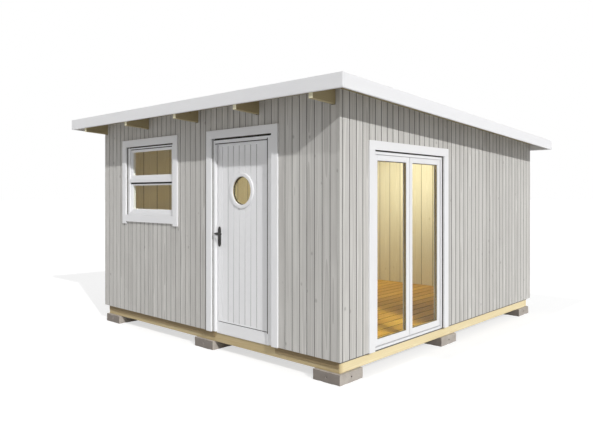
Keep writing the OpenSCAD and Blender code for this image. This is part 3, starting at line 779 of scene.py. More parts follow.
def felt_strip(bm, v0, v1, lapped):
    """One strip of felt. Its lower end lies on the strip below it where lapped is true."""
    verts, local = {}, []
    nu, nv = FELT_CELLS
    for i in range(nu + 1):
        for j in range(nv + 1):
            u = felt_low.x + (felt_high.x - felt_low.x) * i / nu
            v = v0 + (v1 - v0) * j / nv
            lap = FELT_T * min(1.0, max(0.0, (v - v1 + LAP_START) / LAP_RAMP)) if lapped else 0.0
            ripple = RIPPLE_H * noise.noise(Vector((u * RIPPLE_U, v * RIPPLE_V, 1.0)))
            for side in (0, 1):
                spot = Vector((u, v, ROOF_T + lap + ripple * side + FELT_T * side))
                verts[i, j, side] = bm.verts.new(roof @ spot)
                local.append(spot)
    for i in range(nu):
        for j in range(nv):
            ring = [(i, j), (i + 1, j), (i + 1, j + 1), (i, j + 1)]
            bm.faces.new([verts[*c, 1] for c in ring])
            bm.faces.new([verts[*c, 0] for c in reversed(ring)])
    rim = [(i, 0) for i in range(nu)] + [(nu, j) for j in range(nv)]
    rim += [(i, nv) for i in range(nu, 0, -1)] + [(0, j) for j in range(nv, 0, -1)]
    for a, b in zip(rim, rim[1:] + rim[:1]):
        bm.faces.new([verts[*b, 1], verts[*a, 1], verts[*a, 0], verts[*b, 0]])
    stamp(bm, list(verts.values()), local, "u")


bm = joinery()
for k in range(STRIP_COUNT):
    last = k == STRIP_COUNT - 1
    start = felt_run[0] + k * strip_len
    felt_strip(bm, start, start + strip_len + (0 if last else FELT_LAP), not last)
piece("felt_strips", bm, mineral_felt, stands_for=["roofing_felt"])

# %% [markdown]
# ## White trim
# Casing boards frame each opening on the outside. Round the window the two side boards run on a little
# below, like ears. One flat shape with a hole would be quicker, but each board is a solid of its own, so
# that the joints show as the fine lines they are.

# %% Casings
CASING_W, CASING_T, EAR = 0.080, 0.018, 0.025


def casing(name, wall, hole, low, node, bottom=False):
    u0, u1, _, top = hole
    bm = joinery()
    for u in ((u0 - CASING_W, u0), (u1, u1 + CASING_W)):
        board(bm, wall, u, (low, top), (CASING_T, 0), "v", ease=1.0)
    board(bm, wall, (u0 - CASING_W, u1 + CASING_W), (top, top + CASING_W), (CASING_T, 0), "u", ease=1.0)
    if bottom:
        board(bm, wall, (u0, u1), (hole[2], hole[2] + CASING_W), (CASING_T, 0), "u", ease=1.0)
    piece(name, bm, white_paint, stands_for=[node], bevel=TRIM_EDGE, segments=2)


casing("window_casing_boards", front, window_hole, window_hole[2] - EAR, "window_casing", bottom=True)
casing("door_casing_boards", front, door_hole, BASE_Z, "door_casing")
casing("glazed_casing_boards", right, glazed_hole, BASE_Z, "glazed_door_casing")

# %% [markdown]
# ## Bars with a section
# Door frames, glazing beads and the packing round a frame aren't plain boards: they have a section. One
# function carries a section round a rectangle and mitres its corners, as a picture framer does. A curve
# with a bevel could do that too, but here each side is a solid of its own, so that the grain turns.

# %% Mitred frames


def loft(bm, place, local, along, ease):
    """Joins two equal outlines, listed one after the other, into a solid."""
    verts = [bm.verts.new(place @ spot) for spot in local]
    n = len(verts) // 2
    faces = [bm.faces.new(verts[:n]), bm.faces.new(verts[:n - 1:-1])]
    for k in range(n):
        after = (k + 1) % n
        faces.append(bm.faces.new([verts[after], verts[k], verts[n + k], verts[n + after]]))
    stamp(bm, verts, local, along)
    ease_edges(bm, faces, ease)


def framing(bm, place, u, v, section, sides="lrtb", ease=1.0):
    """A frame inside a rectangle. Section is a list of (distance in from the rectangle, depth), or one
    such list for each side by its letter: left, right, top, bottom."""
    shape = section if isinstance(section, dict) else {side: section for side in "lrtb"}
    runs = {"b": ((0, 0), (1, 0), "u"), "r": ((1, 0), (1, 1), "v"),
            "t": ((1, 1), (0, 1), "u"), "l": ((0, 1), (0, 0), "v")}
    side_at = {("u", 0): "b", ("u", 1): "t", ("v", 0): "l", ("v", 1): "r"}
    for side in sides:
        start, end, along = runs[side]
        local = []
        for a, b in (start, end):
            crossing = side_at["v" if along == "u" else "u", a if along == "u" else b]
            for k, (inset, depth) in enumerate(shape[side]):
                cut = shape[crossing][k][0] if crossing in sides else 0.0
                du, dv = (cut, inset) if along == "u" else (inset, cut)
                local.append(Vector((u[a] + (du if a == 0 else -du), v[b] + (dv if b == 0 else -dv), depth)))
        loft(bm, place, local, along, ease)


# %% [markdown]
# ## Packing round the frames
# A frame is always a little smaller than its opening. The gap is stuffed with a strip that stays back
# from the face and is coloured near black, painted shade that deepens the gap's own shadow, so it reads as
# a black line inside the white casing. A line painted on the casing would lie too far out and take no
# shadow, so the strip is a sunk solid. On the left of the window and of the door the gap stays light in the
# sun, so a painted lath fills it there.

# %% Packing finish


def packing_finish():
    finish, tree, shader = new_finish("packing_painted_shade")
    spot = add(tree, "ShaderNodeTexCoord").outputs["Object"]
    lumps = cloudy(tree, spot, 120.0, 4.0)
    # Near-black colours: painted shade in the gap.
    base = mixed(tree, lumps, colour(34, 32, 30), colour(62, 58, 54))
    tree.links.new(base, shader.inputs["Base Color"])
    shader.inputs["Roughness"].default_value = 0.95
    roughen(tree, shader, lumps, 0.7, 0.002)
    return finish


packing_painted_shade = packing_finish()
print("packing finish has", len(packing_painted_shade.node_tree.nodes), "nodes")

# %% Strips and laths in the gaps
GAP, LATH_EDGE = 0.010, 0.001
PACKING_IN, PACKING_BACK, PACKING_FIT = 0.024, 0.072, 0.0005
LATH_IN = {"window": 0.018, "door": 0.010}


def fill_gap(name, wall, hole, sides, sunk, finish):
    near, far = PACKING_FIT, GAP - PACKING_FIT
    section = [(near, -sunk), (far, -sunk), (far, -PACKING_BACK), (near, -PACKING_BACK)]
    bm = joinery()
    framing(bm, wall, hole[:2], (max(hole[2], BASE_Z), hole[3]), section, sides)
    piece(name, bm, finish, bevel=LATH_EDGE)


fill_gap("glazed_packing_strip", right, glazed_hole, "ltr", PACKING_IN, packing_painted_shade)
for name, hole in (("window", window_hole), ("door", door_hole)):
    fill_gap(f"{name}_packing_strip", front, hole, "tr", PACKING_IN, packing_painted_shade)
    fill_gap(f"{name}_packing_lath", front, hole, "l", LATH_IN[name], white_paint)

# %% [markdown]
# ## Glass
# A pane should mirror a little of the sky and still let the sun through to the floor. Cycles takes a
# glass shader's shadow as solid, so a Light Path node swaps in clear glass for the lamps' rays alone.
# The studio is white all round, so a lower index than real glass keeps the panes from milking over.

# %% Panes
PANE_TINT, PANE_INDEX = colour(247, 249, 243), 1.15


def glass_finish():
    finish, tree, shader = new_finish("window_pane")
    shader.inputs["Base Color"].default_value = PANE_TINT
    shader.inputs["Roughness"].default_value = 0.0
    shader.inputs["IOR"].default_value = PANE_INDEX
    shader.inputs["Transmission Weight"].default_value = 1.0
    clear = add(tree, "ShaderNodeBsdfTransparent", {"Color": PANE_TINT})
    path = add(tree, "ShaderNodeLightPath")
    both = add(tree, "ShaderNodeMixShader", {0: path.outputs["Is Shadow Ray"],
                                             1: shader.outputs[0], 2: clear.outputs[0]})
    tree.links.new(both.outputs[0], tree.nodes["Material Output"].inputs["Surface"])
    return finish


def refinish(finish, *nodes):
    """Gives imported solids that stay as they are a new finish."""
    for node in nodes:
        frame["nodes"][node].data.materials.clear()
        frame["nodes"][node].data.materials.append(finish)


window_pane = glass_finish()
refinish(window_pane, "window_glass", "porthole_glass", "left_glazed_pane", "right_glazed_pane")
print("panes keep their packed solids, with a new finish")

# %% [markdown]
# ## The window
# A frame with a crossbar holds two sashes, each with its pane behind a bead. Stiles run through and the
# rails fit between them, as sashes are made, and the bead is a small mitred moulding round each pane. An
# inset of one flat face would give the outline, but neither the joints nor the turn of the grain. Black
# rubber strips keep the rain out over each sash, and read as thin dark lines from outside. Their black is
# also painted shade, for the shadow under the frame's head and under the crossbar.

# %% Window frame
FRAME_SIDE, CROSSBAR, FIT = 0.042, 0.047, 0.0003
frame_low, frame_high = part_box("window_frame")
sash_low, sash_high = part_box("window_sashes")
frame_w = (Y_FRONT - frame_low.y, Y_FRONT - frame_high.y)
sash_h = (sash_high.z - sash_low.z - CROSSBAR - 2 * FIT) / 2
bar_low = sash_low.z + sash_h + FIT

bm = joinery()
for x in (frame_low.x, frame_high.x - FRAME_SIDE):
    board(bm, front, (x, x + FRAME_SIDE), (frame_low.z, frame_high.z), frame_w, "v", ease=1.0)
for v in ((frame_low.z, sash_low.z - FIT), (bar_low, bar_low + CROSSBAR), (sash_high.z + FIT, frame_high.z)):
    board(bm, front, (frame_low.x + FRAME_SIDE, frame_high.x - FRAME_SIDE), v, frame_w, "u", ease=1.0)
piece("window_frame_bars", bm, white_paint, "shed", ["window_frame"], TRIM_EDGE, 2)

# %% Sashes with beads
SASH_BAR, SASH_BEADS = 0.028, (0.008, 0.008)
BEAD_LIP, BEAD_FLAT = 0.3, 0.35
glass_low, glass_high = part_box("window_glass")
sash_w = (Y_FRONT - sash_low.y, Y_FRONT - sash_high.y)
pane_w = (Y_FRONT - glass_low.y, Y_FRONT - glass_high.y)


def leaf_frame(bm, wall, u, v, w, stile, rail):
    """Stiles and rails of a sash or a glazed leaf."""
    for x in (u[0], u[1] - stile):
        board(bm, wall, (x, x + stile), v, w, "v", ease=1.0)
    for z in (v[0], v[1] - rail):
        board(bm, wall, (u[0] + stile, u[1] - stile), (z, z + rail), w, "u", ease=1.0)


def beads(bm, wall, u, v, pane, faces, sizes):
    """Beads on both sides of a pane, chamfered towards the glass."""
    for glass_w, face_w, size in zip(pane, faces, sizes):
        lip = BEAD_LIP * (face_w - glass_w)
        section = [(0, glass_w), (size, glass_w), (size, glass_w + lip), (size * BEAD_FLAT, face_w - lip),
                   (0, face_w - lip)]
        framing(bm, wall, u, v, section, ease=0.3)


bm = joinery()
for z in (sash_low.z, sash_high.z - sash_h):
    u, v = (sash_low.x, sash_high.x), (z, z + sash_h)
    leaf_frame(bm, front, u, v, sash_w, SASH_BAR, SASH_BAR)
    beads(bm, front, (u[0] + SASH_BAR, u[1] - SASH_BAR), (v[0] + SASH_BAR, v[1] - SASH_BAR), pane_w,
          sash_w, SASH_BEADS)
piece("window_sash_bars", bm, white_paint, "shed", ["window_sashes"], TRIM_EDGE, 2)

# %% Rubber strips of the window
HEAD_STRIP, RAIL_STRIPS, SEAL_T, SEAL_EDGE = 0.004, (0.018, 0.009), 0.0015, 0.0005
bm = joinery()
# Black strips: painted shade under the head and the crossbar.
board(bm, front, (frame_low.x, frame_high.x), (frame_high.z - HEAD_STRIP, frame_high.z),
      (frame_w[0] + SEAL_T, frame_w[0]), "u")
for top, deep in zip((sash_low.z + sash_h, sash_high.z), RAIL_STRIPS):
    board(bm, front, (sash_low.x, sash_high.x), (top - deep, top), (sash_w[0] + SEAL_T, sash_w[0]), "u")
piece("window_strips_painted_shade", bm, packing_painted_shade, bevel=SEAL_EDGE)

# %% [markdown]
# ## Door frames
# Each door frame is rebated: a stop stands in front of the leaf, which closes against it from the room.
# The section has an L shape, and one mitred run carries it up one side, over the head and down the other.
# The single door has a wide jamb for its hinges and a slim one where it shuts, so each side has a section.

# %% Frame of the single door
SILL_H, STOP_GAP = 0.022, 0.005
DOOR_JAMBS, DOOR_STOP = (0.016, 0.060, 0.018), 0.010
leaf_low, leaf_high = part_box("door_leaf")
leaf_w = (Y_FRONT - leaf_low.y, Y_FRONT - leaf_high.y)


def door_frame(name, wall, u, top, w, jambs, stop, stop_t, sill_w, node):
    """Jambs gives the width behind the stop of the left side, the right side and the head."""
    near, far = w
    section = {side: [(0, near), (jamb + stop, near), (jamb + stop, near - stop_t), (jamb, near - stop_t),
                      (jamb, far), (0, far)] for side, jamb in zip("lrt", jambs)}
    bm = joinery()
    framing(bm, wall, u, (BASE_Z, top), section, sides="ltr")
    board(bm, wall, (u[0] + jambs[0], u[1] - jambs[1]), (BASE_Z, BASE_Z + SILL_H), sill_w, "u", ease=1.0)
    piece(name, bm, white_paint, stands_for=[node], bevel=TRIM_EDGE, segments=2)


low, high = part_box("door_frame")
door_u, door_top = (low.x, high.x), high.z
door_w = (Y_FRONT - low.y, Y_FRONT - high.y)
door_stop_t = door_w[0] - leaf_w[0] - STOP_GAP
door_frame("door_frame_bars", front, door_u, door_top, door_w, DOOR_JAMBS, DOOR_STOP, door_stop_t, leaf_w,
           "door_frame")

# %% [markdown]
# ## Against the rain
# A lath deepens the stop over the door, and black rubber strips edge it, the hinge side and the top of
# the frame. Their black is also painted shade, for the dark lines of shadow along the stop. The leaf's
# foot stands behind a high white threshold: a plate, a nosing over the rim and an upstand. All are plain
# boards in the plane of the front wall, so one function makes each of them.

# %% Lath and rubber strips of the single door
SEAL_W, DRIP_LATH, THRESHOLD_H = 0.009, 0.020, 0.098
inside_u = (door_u[0] + DOOR_JAMBS[0] + DOOR_STOP, door_u[1] - DOOR_JAMBS[1] - DOOR_STOP)
head = door_top - DOOR_JAMBS[2] - DOOR_STOP
lath_low = head - DRIP_LATH
bm = joinery()
board(bm, front, inside_u, (lath_low, head), (door_w[0], door_w[0] - door_stop_t), "u", ease=1.0)
piece("door_head_lath", bm, white_paint, bevel=LATH_EDGE)

seal_w = (door_w[0] + SEAL_T, door_w[0])
# Black strips: painted shade along the head and the hinge side.
bm = joinery()
board(bm, front, door_u, (door_top - 2 * HEAD_STRIP, door_top), seal_w, "u")
board(bm, front, inside_u, (lath_low, lath_low + SEAL_W), seal_w, "u")
board(bm, front, (inside_u[1], inside_u[1] + SEAL_W), (BASE_Z + THRESHOLD_H, head), seal_w)
piece("door_strips_painted_shade", bm, packing_painted_shade, bevel=SEAL_EDGE)

# %% Threshold
THRESHOLD_T, UPSTAND_T, NOSING, NOSING_H = 0.006, 0.008, 0.012, 0.013
rim_w = Y_FRONT - near_y
clear_w = leaf_w[0] + STOP_GAP
threshold = (((FIT, THRESHOLD_T), (rim_w + NOSING, leaf_w[0] + FIT)),
             ((-NOSING_H, FIT), (rim_w + NOSING, rim_w + FIT)),
             ((THRESHOLD_T, THRESHOLD_H), (clear_w + UPSTAND_T, clear_w)))
bm = joinery()
for v, w in threshold:
    board(bm, front, inside_u, (BASE_Z + v[0], BASE_Z + v[1]), w, "u", ease=1.0)
piece("door_threshold", bm, white_paint, bevel=LATH_EDGE)

# %% Frame of the glazed doors
GLAZED_JAMBS, GLAZED_STOP = (0.018, 0.018, 0.018), 0.008
low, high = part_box("glazed_door_frame")
w = (high.x - X_RIGHT, low.x - X_RIGHT)
glazed_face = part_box("left_glazed_leaf")[1].x - X_RIGHT
door_frame("glazed_frame_bars", right, (low.y, high.y), high.z, w, GLAZED_JAMBS, GLAZED_STOP,
           w[0] - glazed_face - STOP_GAP, w, "glazed_door_frame")

# %% [markdown]
# ## The front door
# The leaf has stiles and rails round a field of seven upright boards, and a hole for the round window.
# The boards are real on both faces, with a core between them. The hole is cut through each layer with a
# Boolean, as a jigsaw would. Layers are cut one by one, because a Boolean dislikes solids that touch.

# %% Stiles and rails of the leaf
SHUT_STILE, HINGE_STILE, TOP_RAIL, BOTTOM_RAIL = 0.072, 0.109, 0.048, 0.086
field_u = (leaf_low.x + SHUT_STILE, leaf_high.x - HINGE_STILE)
field_v = (leaf_low.z + BOTTOM_RAIL, leaf_high.z - TOP_RAIL)

bm = joinery()
for u in ((leaf_low.x, field_u[0]), (field_u[1], leaf_high.x)):
    board(bm, front, u, (leaf_low.z, leaf_high.z), leaf_w, "v", ease=1.0)
for v in ((leaf_low.z, field_v[0]), (field_v[1], leaf_high.z)):
    board(bm, front, field_u, v, leaf_w, "u", ease=1.0)
piece("door_leaf_frame", bm, white_paint, "front_door", ["door_leaf"], TRIM_EDGE, 2)

# %% Rubber strip at the leaf's foot
FOOT_STRIP, FOOT_DROP, FOOT_IN, FOOT_EDGE = 0.0045, 0.010, 0.011, 0.0004
# A black strip across the leaf: painted shade, a dark line at the foot of the field.
foot_v = (field_v[0] - FOOT_DROP - FOOT_STRIP, field_v[0] - FOOT_DROP)
bm = joinery()
board(bm, front, (leaf_low.x + FOOT_IN, leaf_high.x - FOOT_IN), foot_v, (leaf_w[0] + SEAL_T, leaf_w[0]), "u")
piece("door_foot_strip_painted_shade", bm, packing_painted_shade, "front_door", bevel=FOOT_EDGE)

# %% Boards of the leaf, with a round hole
FIELD_IN, FIELD_BOARDS, FIELD_JOINT, FIELD_FACE = 0.004, 7, 0.0055, 0.005
PORT_R, SLEEVE_T, HOLE_SIDES, HOLE_DEEP = 0.136, 0.007, 96, 0.1
field_w = (leaf_w[0] - FIELD_IN, leaf_w[1] + FIELD_IN)
core_w = (field_w[0] - FIELD_FACE, field_w[1] + FIELD_FACE)
ring_low, ring_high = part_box("porthole_ring")
port_u, port_v = (ring_low.x + ring_high.x) / 2, (ring_low.z + ring_high.z) / 2


def field_layer(name, w, boards, grime_and_shade):
    """One layer of the field, with the hole of the round window cut through it."""
    bm = joinery()
    side_by_side(bm, front, field_u, field_v, w, boards, FIELD_JOINT if boards > 1 else 0.0, grime_and_shade=grime_and_shade)
    layer = piece(name, bm, white_paint, "front_door", bevel=V_JOINT)
    hole = bmesh.new()
    at = front @ Matrix.Translation((port_u, port_v, sum(w) / 2))
    bmesh.ops.create_cone(hole, cap_ends=True, segments=HOLE_SIDES, radius1=PORT_R + SLEEVE_T,
                          radius2=PORT_R + SLEEVE_T, depth=HOLE_DEEP, matrix=at)
    cut_out(layer, hole)


field_layer("door_leaf_boards", (field_w[0], core_w[0]), FIELD_BOARDS, (0.0, 1.0))
field_layer("door_leaf_room_boards", (field_w[1], core_w[1]), FIELD_BOARDS, (0.0, 1.0))
field_layer("door_leaf_core", core_w, 1, (1.0, 1.0))

# %% [markdown]
# ## Turned work
# The rings of the round window, the screws and the lever's collar are turned on a lathe. A profile of
# radius and depth is carried round an axis. Blender's Screw modifier would do it too, but here the
# vertices can also store the grain.

# %% Turning and arcs


def turned(bm, place, profile, steps, closed=True):
    """Turns a profile of (radius, depth) round the plane's own axis, as on a lathe."""
    rings, local = [], []
    for s in range(steps):
        angle = 2 * math.pi * s / steps
        spots = [Vector((r * math.cos(angle), r * math.sin(angle), d)) for r, d in profile]
        rings.append([bm.verts.new(place @ spot) for spot in spots])
        local += spots
    n = len(profile)
    for s in range(steps):
        one, two = rings[s], rings[(s + 1) % steps]
        for k in range(n if closed else n - 1):
            after = (k + 1) % n
            bm.faces.new([one[k], one[after], two[after], two[k]])
    stamp(bm, [v for ring in rings for v in ring], local, "w")
    bmesh.ops.remove_doubles(bm, verts=[v for ring in rings for v in ring], dist=TINY)


def arc(centre, radius, start, end, steps=6):
    """Points of an arc, angles in degrees."""
    turn = [math.radians(start + (end - start) * k / steps) for k in range(steps + 1)]
    return [(centre[0] + radius * math.cos(t), centre[1] + radius * math.sin(t)) for t in turn]


# %% [markdown]
# ## The round window
# Two rings clamp the pane in the hole: a white one outside and a pine one in the room. A sleeve lines the
# hole between them, and a rubber gasket edges the glass. The room ring and the sleeve are a darker pine
# and the gasket near black, painted shade for the shaded reveal of the hole. All are turned from a section,
# and smooth shading with sharp rims keeps them round at any distance.

# %% Rings, sleeve and gasket
FLANGE, FLANGE_T, RING_STEPS, RING_CREASE = 0.037, 0.012, 120, math.radians(50)
OUTER_ROUND, OUTER_LIFT, INNER_ROUND, INNER_LIFT = 0.007, 0.45, 0.006, 0.5
SLEEVE_FIT, GASKET_W, GASKET_T = 0.0003, 0.006, 0.004
port_axis = front @ Matrix.Translation((port_u, port_v, 0))
port_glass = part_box("porthole_glass")


def port_piece(name, sections, finish, nodes=()):
    bm = joinery()
    for section in sections:
        turned(bm, port_axis, section, RING_STEPS)
    made = piece(name, bm, finish, "front_door", nodes, smooth=True)
    made.data.set_sharp_from_angle(angle=RING_CREASE)


def flange(face_w, out):
    """Section of a rounded ring on one face of the field."""
    outer_r = PORT_R + FLANGE
    lift = out * FLANGE_T
    outer = arc((outer_r - OUTER_ROUND, face_w + lift * OUTER_LIFT), OUTER_ROUND, 0, 90 * out)
    inner = arc((PORT_R + INNER_ROUND, face_w + lift * INNER_LIFT), INNER_ROUND, 90 * out, 180 * out)
    return [(outer_r, face_w), *outer, *inner, (PORT_R, face_w)]


def gasket_lip(face_w, out):
    start, end = face_w + out * SLEEVE_FIT, face_w + out * GASKET_T
    return [(PORT_R - SLEEVE_FIT, start), (PORT_R - GASKET_W, start), (PORT_R - SLEEVE_FIT, end)]


port_piece("porthole_outer_ring", [flange(field_w[0], 1)], white_paint, ["porthole_ring"])
port_piece("porthole_room_ring", [flange(field_w[1], -1)], weathered_pine_painted_shade, ["porthole_inner_ring"])
sleeve_r = PORT_R + SLEEVE_T - SLEEVE_FIT
sleeve = [(PORT_R, field_w[0]), (PORT_R, field_w[1]), (sleeve_r, field_w[1]), (sleeve_r, field_w[0])]
port_piece("porthole_sleeve", [sleeve], weathered_pine_painted_shade)
# The gasket is near black: painted shade at the rim of the hole.
lips = [gasket_lip(Y_FRONT - port_glass[0].y, 1), gasket_lip(Y_FRONT - port_glass[1].y, -1)]
port_piece("porthole_gasket_painted_shade", lips, packing_painted_shade)

# %% [markdown]
# ## The door handle
# A black plate with a lever above and a keyhole below, on both faces of the leaf. The plate is an
# outline carried through its thickness. The lever is a tube swept along a bent path, thicker in the grip,
# because a straight cylinder looks like a rod and not like something made for a hand.

# %% Black iron, for the handle and the hinges


def iron_finish():
    finish, tree, shader = new_finish("black_iron")
    spot = add(tree, "ShaderNodeTexCoord").outputs["Object"]
    cloud = cloudy(tree, spot, 60.0, 5.0)
    hammer = add(tree, "ShaderNodeTexVoronoi", {"Vector": spot, "Scale": 210.0},
                 feature="SMOOTH_F1").outputs["Distance"]
    base = mixed(tree, cloud, colour(34, 33, 32), colour(58, 56, 54))
    tree.links.new(base, shader.inputs["Base Color"])
    tree.links.new(weighted(tree, 0.28, (cloud, 0.3)), shader.inputs["Roughness"])
    shader.inputs["Metallic"].default_value = 0.35
    roughen(tree, shader, hammer, 0.2, 0.0008)
    return finish


black_iron = iron_finish()
refinish(black_iron, "door_hinge_pins", "door_hinge_knuckles", "glazed_hinge_pins", "left_hinge_knuckles",
         "right_hinge_knuckles")
print("hinges keep their packed solids, in black iron")

# %% Plates with keyholes
PLATE_T, PLATE_EDGE, PLATE_END, SHOULDER = 0.006, 0.0014, 0.72, 0.028
plate_low, plate_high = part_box("handle_plates")
axle = next(j for j in frame["joints"] if j["name"] == "lever_turn")["pos_m"]
plate_u = ((plate_low.x + plate_high.x) / 2, (plate_high.x - plate_low.x) / 2)
plate_v = (plate_low.z, plate_high.z)
leaf_faces = ((leaf_w[0], 1), (leaf_w[1], -1))


def prism(bm, place, outline, ends, ease=1.0):
    loft(bm, place, [Vector((a, b, end)) for end in ends for a, b in outline], "w", ease)


def plate_outline():
    """A tall plate with shouldered, rounded ends."""
    mid, half = plate_u
    low, high = plate_v
    end = half * PLATE_END
    top = [(mid + half, high - SHOULDER), *arc((mid, high - end), end, 20, 160, 10),
           (mid - half, high - SHOULDER)]
    bottom = [(mid - half, low + SHOULDER), *arc((mid, low + end), end, 200, 340, 10),
              (mid + half, low + SHOULDER)]
    return top + bottom


KEY_DROP, KEY_R, KEY_SLOT, KEY_TAIL = 0.072, 0.0045, 0.0022, 0.014
bm = joinery()
for face_w, out in leaf_faces:
    prism(bm, front, plate_outline(), (face_w, face_w + out * PLATE_T), ease=1.0)
plates = piece("handle_plates_iron", bm, black_iron, "front_door", ["handle_plates"],
               PLATE_EDGE, 2)
key_v = axle[2] - KEY_DROP
keyhole = [*arc((plate_u[0], key_v), KEY_R, -60, 240, 16), (plate_u[0] - KEY_SLOT, key_v - KEY_TAIL),
           (plate_u[0] + KEY_SLOT, key_v - KEY_TAIL)]
for face_w in leaf_w:
    bm = joinery()
    prism(bm, front, keyhole, (face_w - 2 * PLATE_T, face_w + 2 * PLATE_T), ease=0.0)
    cut_out(plates, bm)

# %% Screws of the plates
SCREW_IN, SCREW_SIDES = 0.020, 24
SCREW_DOME = ((0.0042, -0.0005), (0.0042, 0.0004), (0.0030, 0.0016), (0.0, 0.0020))
bm = joinery()
for face_w, out in leaf_faces:
    for z in (plate_v[0] + SCREW_IN, plate_v[1] - SCREW_IN):
        seat = front @ Matrix.Translation((plate_u[0], z, face_w + out * PLATE_T))
        turned(bm, seat, [(r, d * out) for r, d in SCREW_DOME], SCREW_SIDES, closed=False)
piece("handle_screws", bm, black_iron, "front_door", smooth=True)

# %% A tube along a path
TUBE_SIDES = 20


def sweep(bm, path, radii):
    """A tube along a path, with its ends closed. Radii are (upright, sideways) at each point."""
    rings, local = [], []
    for k, spot in enumerate(path):
        ahead = (path[min(k + 1, len(path) - 1)] - path[max(k - 1, 0)]).normalized()
        side = Vector((0, 0, 1))
        other = ahead.cross(side).normalized()
        ring = []
        for s in range(TUBE_SIDES):
            t = 2 * math.pi * s / TUBE_SIDES
            p = spot + side * radii[k][0] * math.cos(t) + other * radii[k][1] * math.sin(t)
            ring.append(bm.verts.new(p))
            local.append(p)
        rings.append(ring)
    for one, two in zip(rings, rings[1:]):
        for s in range(TUBE_SIDES):
            after = (s + 1) % TUBE_SIDES
            bm.faces.new([one[s], one[after], two[after], two[s]])
    bm.faces.new(rings[0])
    bm.faces.new(rings[-1][::-1])
    stamp(bm, [v for ring in rings for v in ring], local, "u")


# %% Levers
LEVER_BEND, BEND_TURNS, NECK = 0.014, (0, 0.4, 0.8, 1.2, math.pi / 2), 0.35
LEVER_SAG, GRIP_WAY = Vector((0, 0, 0.004)), Vector((1, 0, 0))
SHORT_OUTSIDE, SHORT_IN_ROOM = 0.004, 0.007
GRIP_STEPS = (0.15, 0.3, 0.45, 0.6, 0.75, 0.88, 0.95, 0.985, 1.0)
THICKNESS = [(0.0100, 0.0100)] + [(0.0086, 0.0086)] * 6
THICKNESS += [(0.0090, 0.0080), (0.0098, 0.0078), (0.0104, 0.0076), (0.0106, 0.0076), (0.0102, 0.0074),
              (0.0094, 0.0070), (0.0084, 0.0064), (0.0066, 0.0050), (0.0030, 0.0024)]
COLLAR = ((0.0, 0.0003), (0.0155, 0.0003), (0.0155, 0.005), (0.0130, 0.008), (0.0, 0.008))
COLLAR_SIDES, LEVER_CREASE = 40, math.radians(45)
lever_low, lever_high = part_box("door_lever")
LEVER_LEN = lever_high.x - axle[0]


def lever_path(start, out):
    """Out from the plate, round a bend, and along the grip, which sags a little."""
    bend = [start + out - out.normalized() * LEVER_BEND * (1 - math.sin(t))
            + GRIP_WAY * LEVER_BEND * (1 - math.cos(t)) for t in BEND_TURNS]
    length = LEVER_LEN - LEVER_BEND
    grip = [bend[-1] + GRIP_WAY * length * s - LEVER_SAG * math.sin(math.pi * s) for s in GRIP_STEPS]
    return [start, start + out * NECK, *bend, *grip]


bm = joinery()
for start_w, reach_w, out in ((leaf_w[0] + PLATE_T, Y_FRONT - lever_low.y - SHORT_OUTSIDE, 1),
                              (leaf_w[1] - PLATE_T, Y_FRONT - lever_high.y + SHORT_IN_ROOM, -1)):
    start = front @ Vector((axle[0], axle[2], start_w))
    reach = front @ Vector((axle[0], axle[2], reach_w))
    sweep(bm, lever_path(start, reach - start), THICKNESS)
    seat = front @ Matrix.Translation((axle[0], axle[2], start_w))
    turned(bm, seat, [(r, d * out) for r, d in COLLAR], COLLAR_SIDES, closed=False)
levers = piece("door_lever_iron", bm, black_iron, "lever", ["door_lever"], smooth=True)
levers.data.set_sharp_from_angle(angle=LEVER_CREASE)

# %% [markdown]
# ## The glazed doors
# Each leaf is four white bars round one tall pane, with a white bead outside and a dark pine one towards
# the room, its colour painted shade for the shaded reveal seen through the glass. A mirrored copy of the
# first leaf would repeat its grain, so one loop makes both: only their box and the body that they ride on
# differ.

# %% Glazed leaves
GLAZED_STILE, GLAZED_RAIL = 0.044, 0.053
GLAZED_BEADS = (0.005, 0.010)
for hand in ("left", "right"):
    low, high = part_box(f"{hand}_glazed_leaf")
    pane_low, pane_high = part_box(f"{hand}_glazed_pane")
    u, v = (low.y, high.y), (low.z, high.z)
    w = (high.x - X_RIGHT, low.x - X_RIGHT)
    bm = joinery()
    leaf_frame(bm, right, u, v, w, GLAZED_STILE, GLAZED_RAIL)
    pane_u = (u[0] + GLAZED_STILE, u[1] - GLAZED_STILE)
    pane_v = (v[0] + GLAZED_RAIL, v[1] - GLAZED_RAIL)
    pane_faces = (pane_high.x - X_RIGHT, pane_low.x - X_RIGHT)
    beads(bm, right, pane_u, pane_v, pane_faces[:1], w[:1], GLAZED_BEADS[:1])
    piece(f"{hand}_glazed_leaf_bars", bm, white_paint, f"{hand}_glazed_door",
          [f"{hand}_glazed_leaf"], TRIM_EDGE, 2)
    bm = joinery()
    beads(bm, right, pane_u, pane_v, pane_faces[1:], w[1:], GLAZED_BEADS[1:])
    piece(f"{hand}_glazed_room_beads", bm, dark_pine_painted_shade, f"{hand}_glazed_door", bevel=LATH_EDGE)

# %% [markdown]
# ## Studio
# The sun of the photograph comes low from the right, grazing the front. One sun lamp repeats its shadow
# lines under the eaves. A weaker one straight from the front falls as steeply, so it keeps the same line
# there and only lifts the lit front. A lamp in the room stands for the daylight on its lining. A dim
# world and the pale floor fill the shade. Camera, mirror and glass rays see the floor and the world as
# white, so no lamp has to overexpose anything.

# %% Two suns
SUNS = (("studio_sun", Vector((-2.75, 1.0, -1.59)), 2.36),
        ("studio_front_fill", Vector((0.0, 1.0, -1.59)), 0.60))
SUN_SPREAD = math.radians(1.0)


def hang(name, lamp, way):
    """Puts a lamp in the scene, turned so that it shines that way."""
    obj = bpy.data.objects.new(name, lamp)
    obj.rotation_euler = way.to_track_quat("-Z", "Y").to_euler()
    bpy.context.scene.collection.objects.link(obj)
    return obj


for name, way, level in SUNS:
    lamp = bpy.data.lights.new(name, "SUN")
    lamp.energy = level
    lamp.angle = SUN_SPREAD
    hang(name, lamp, way)
    print(name, "shines with", level)

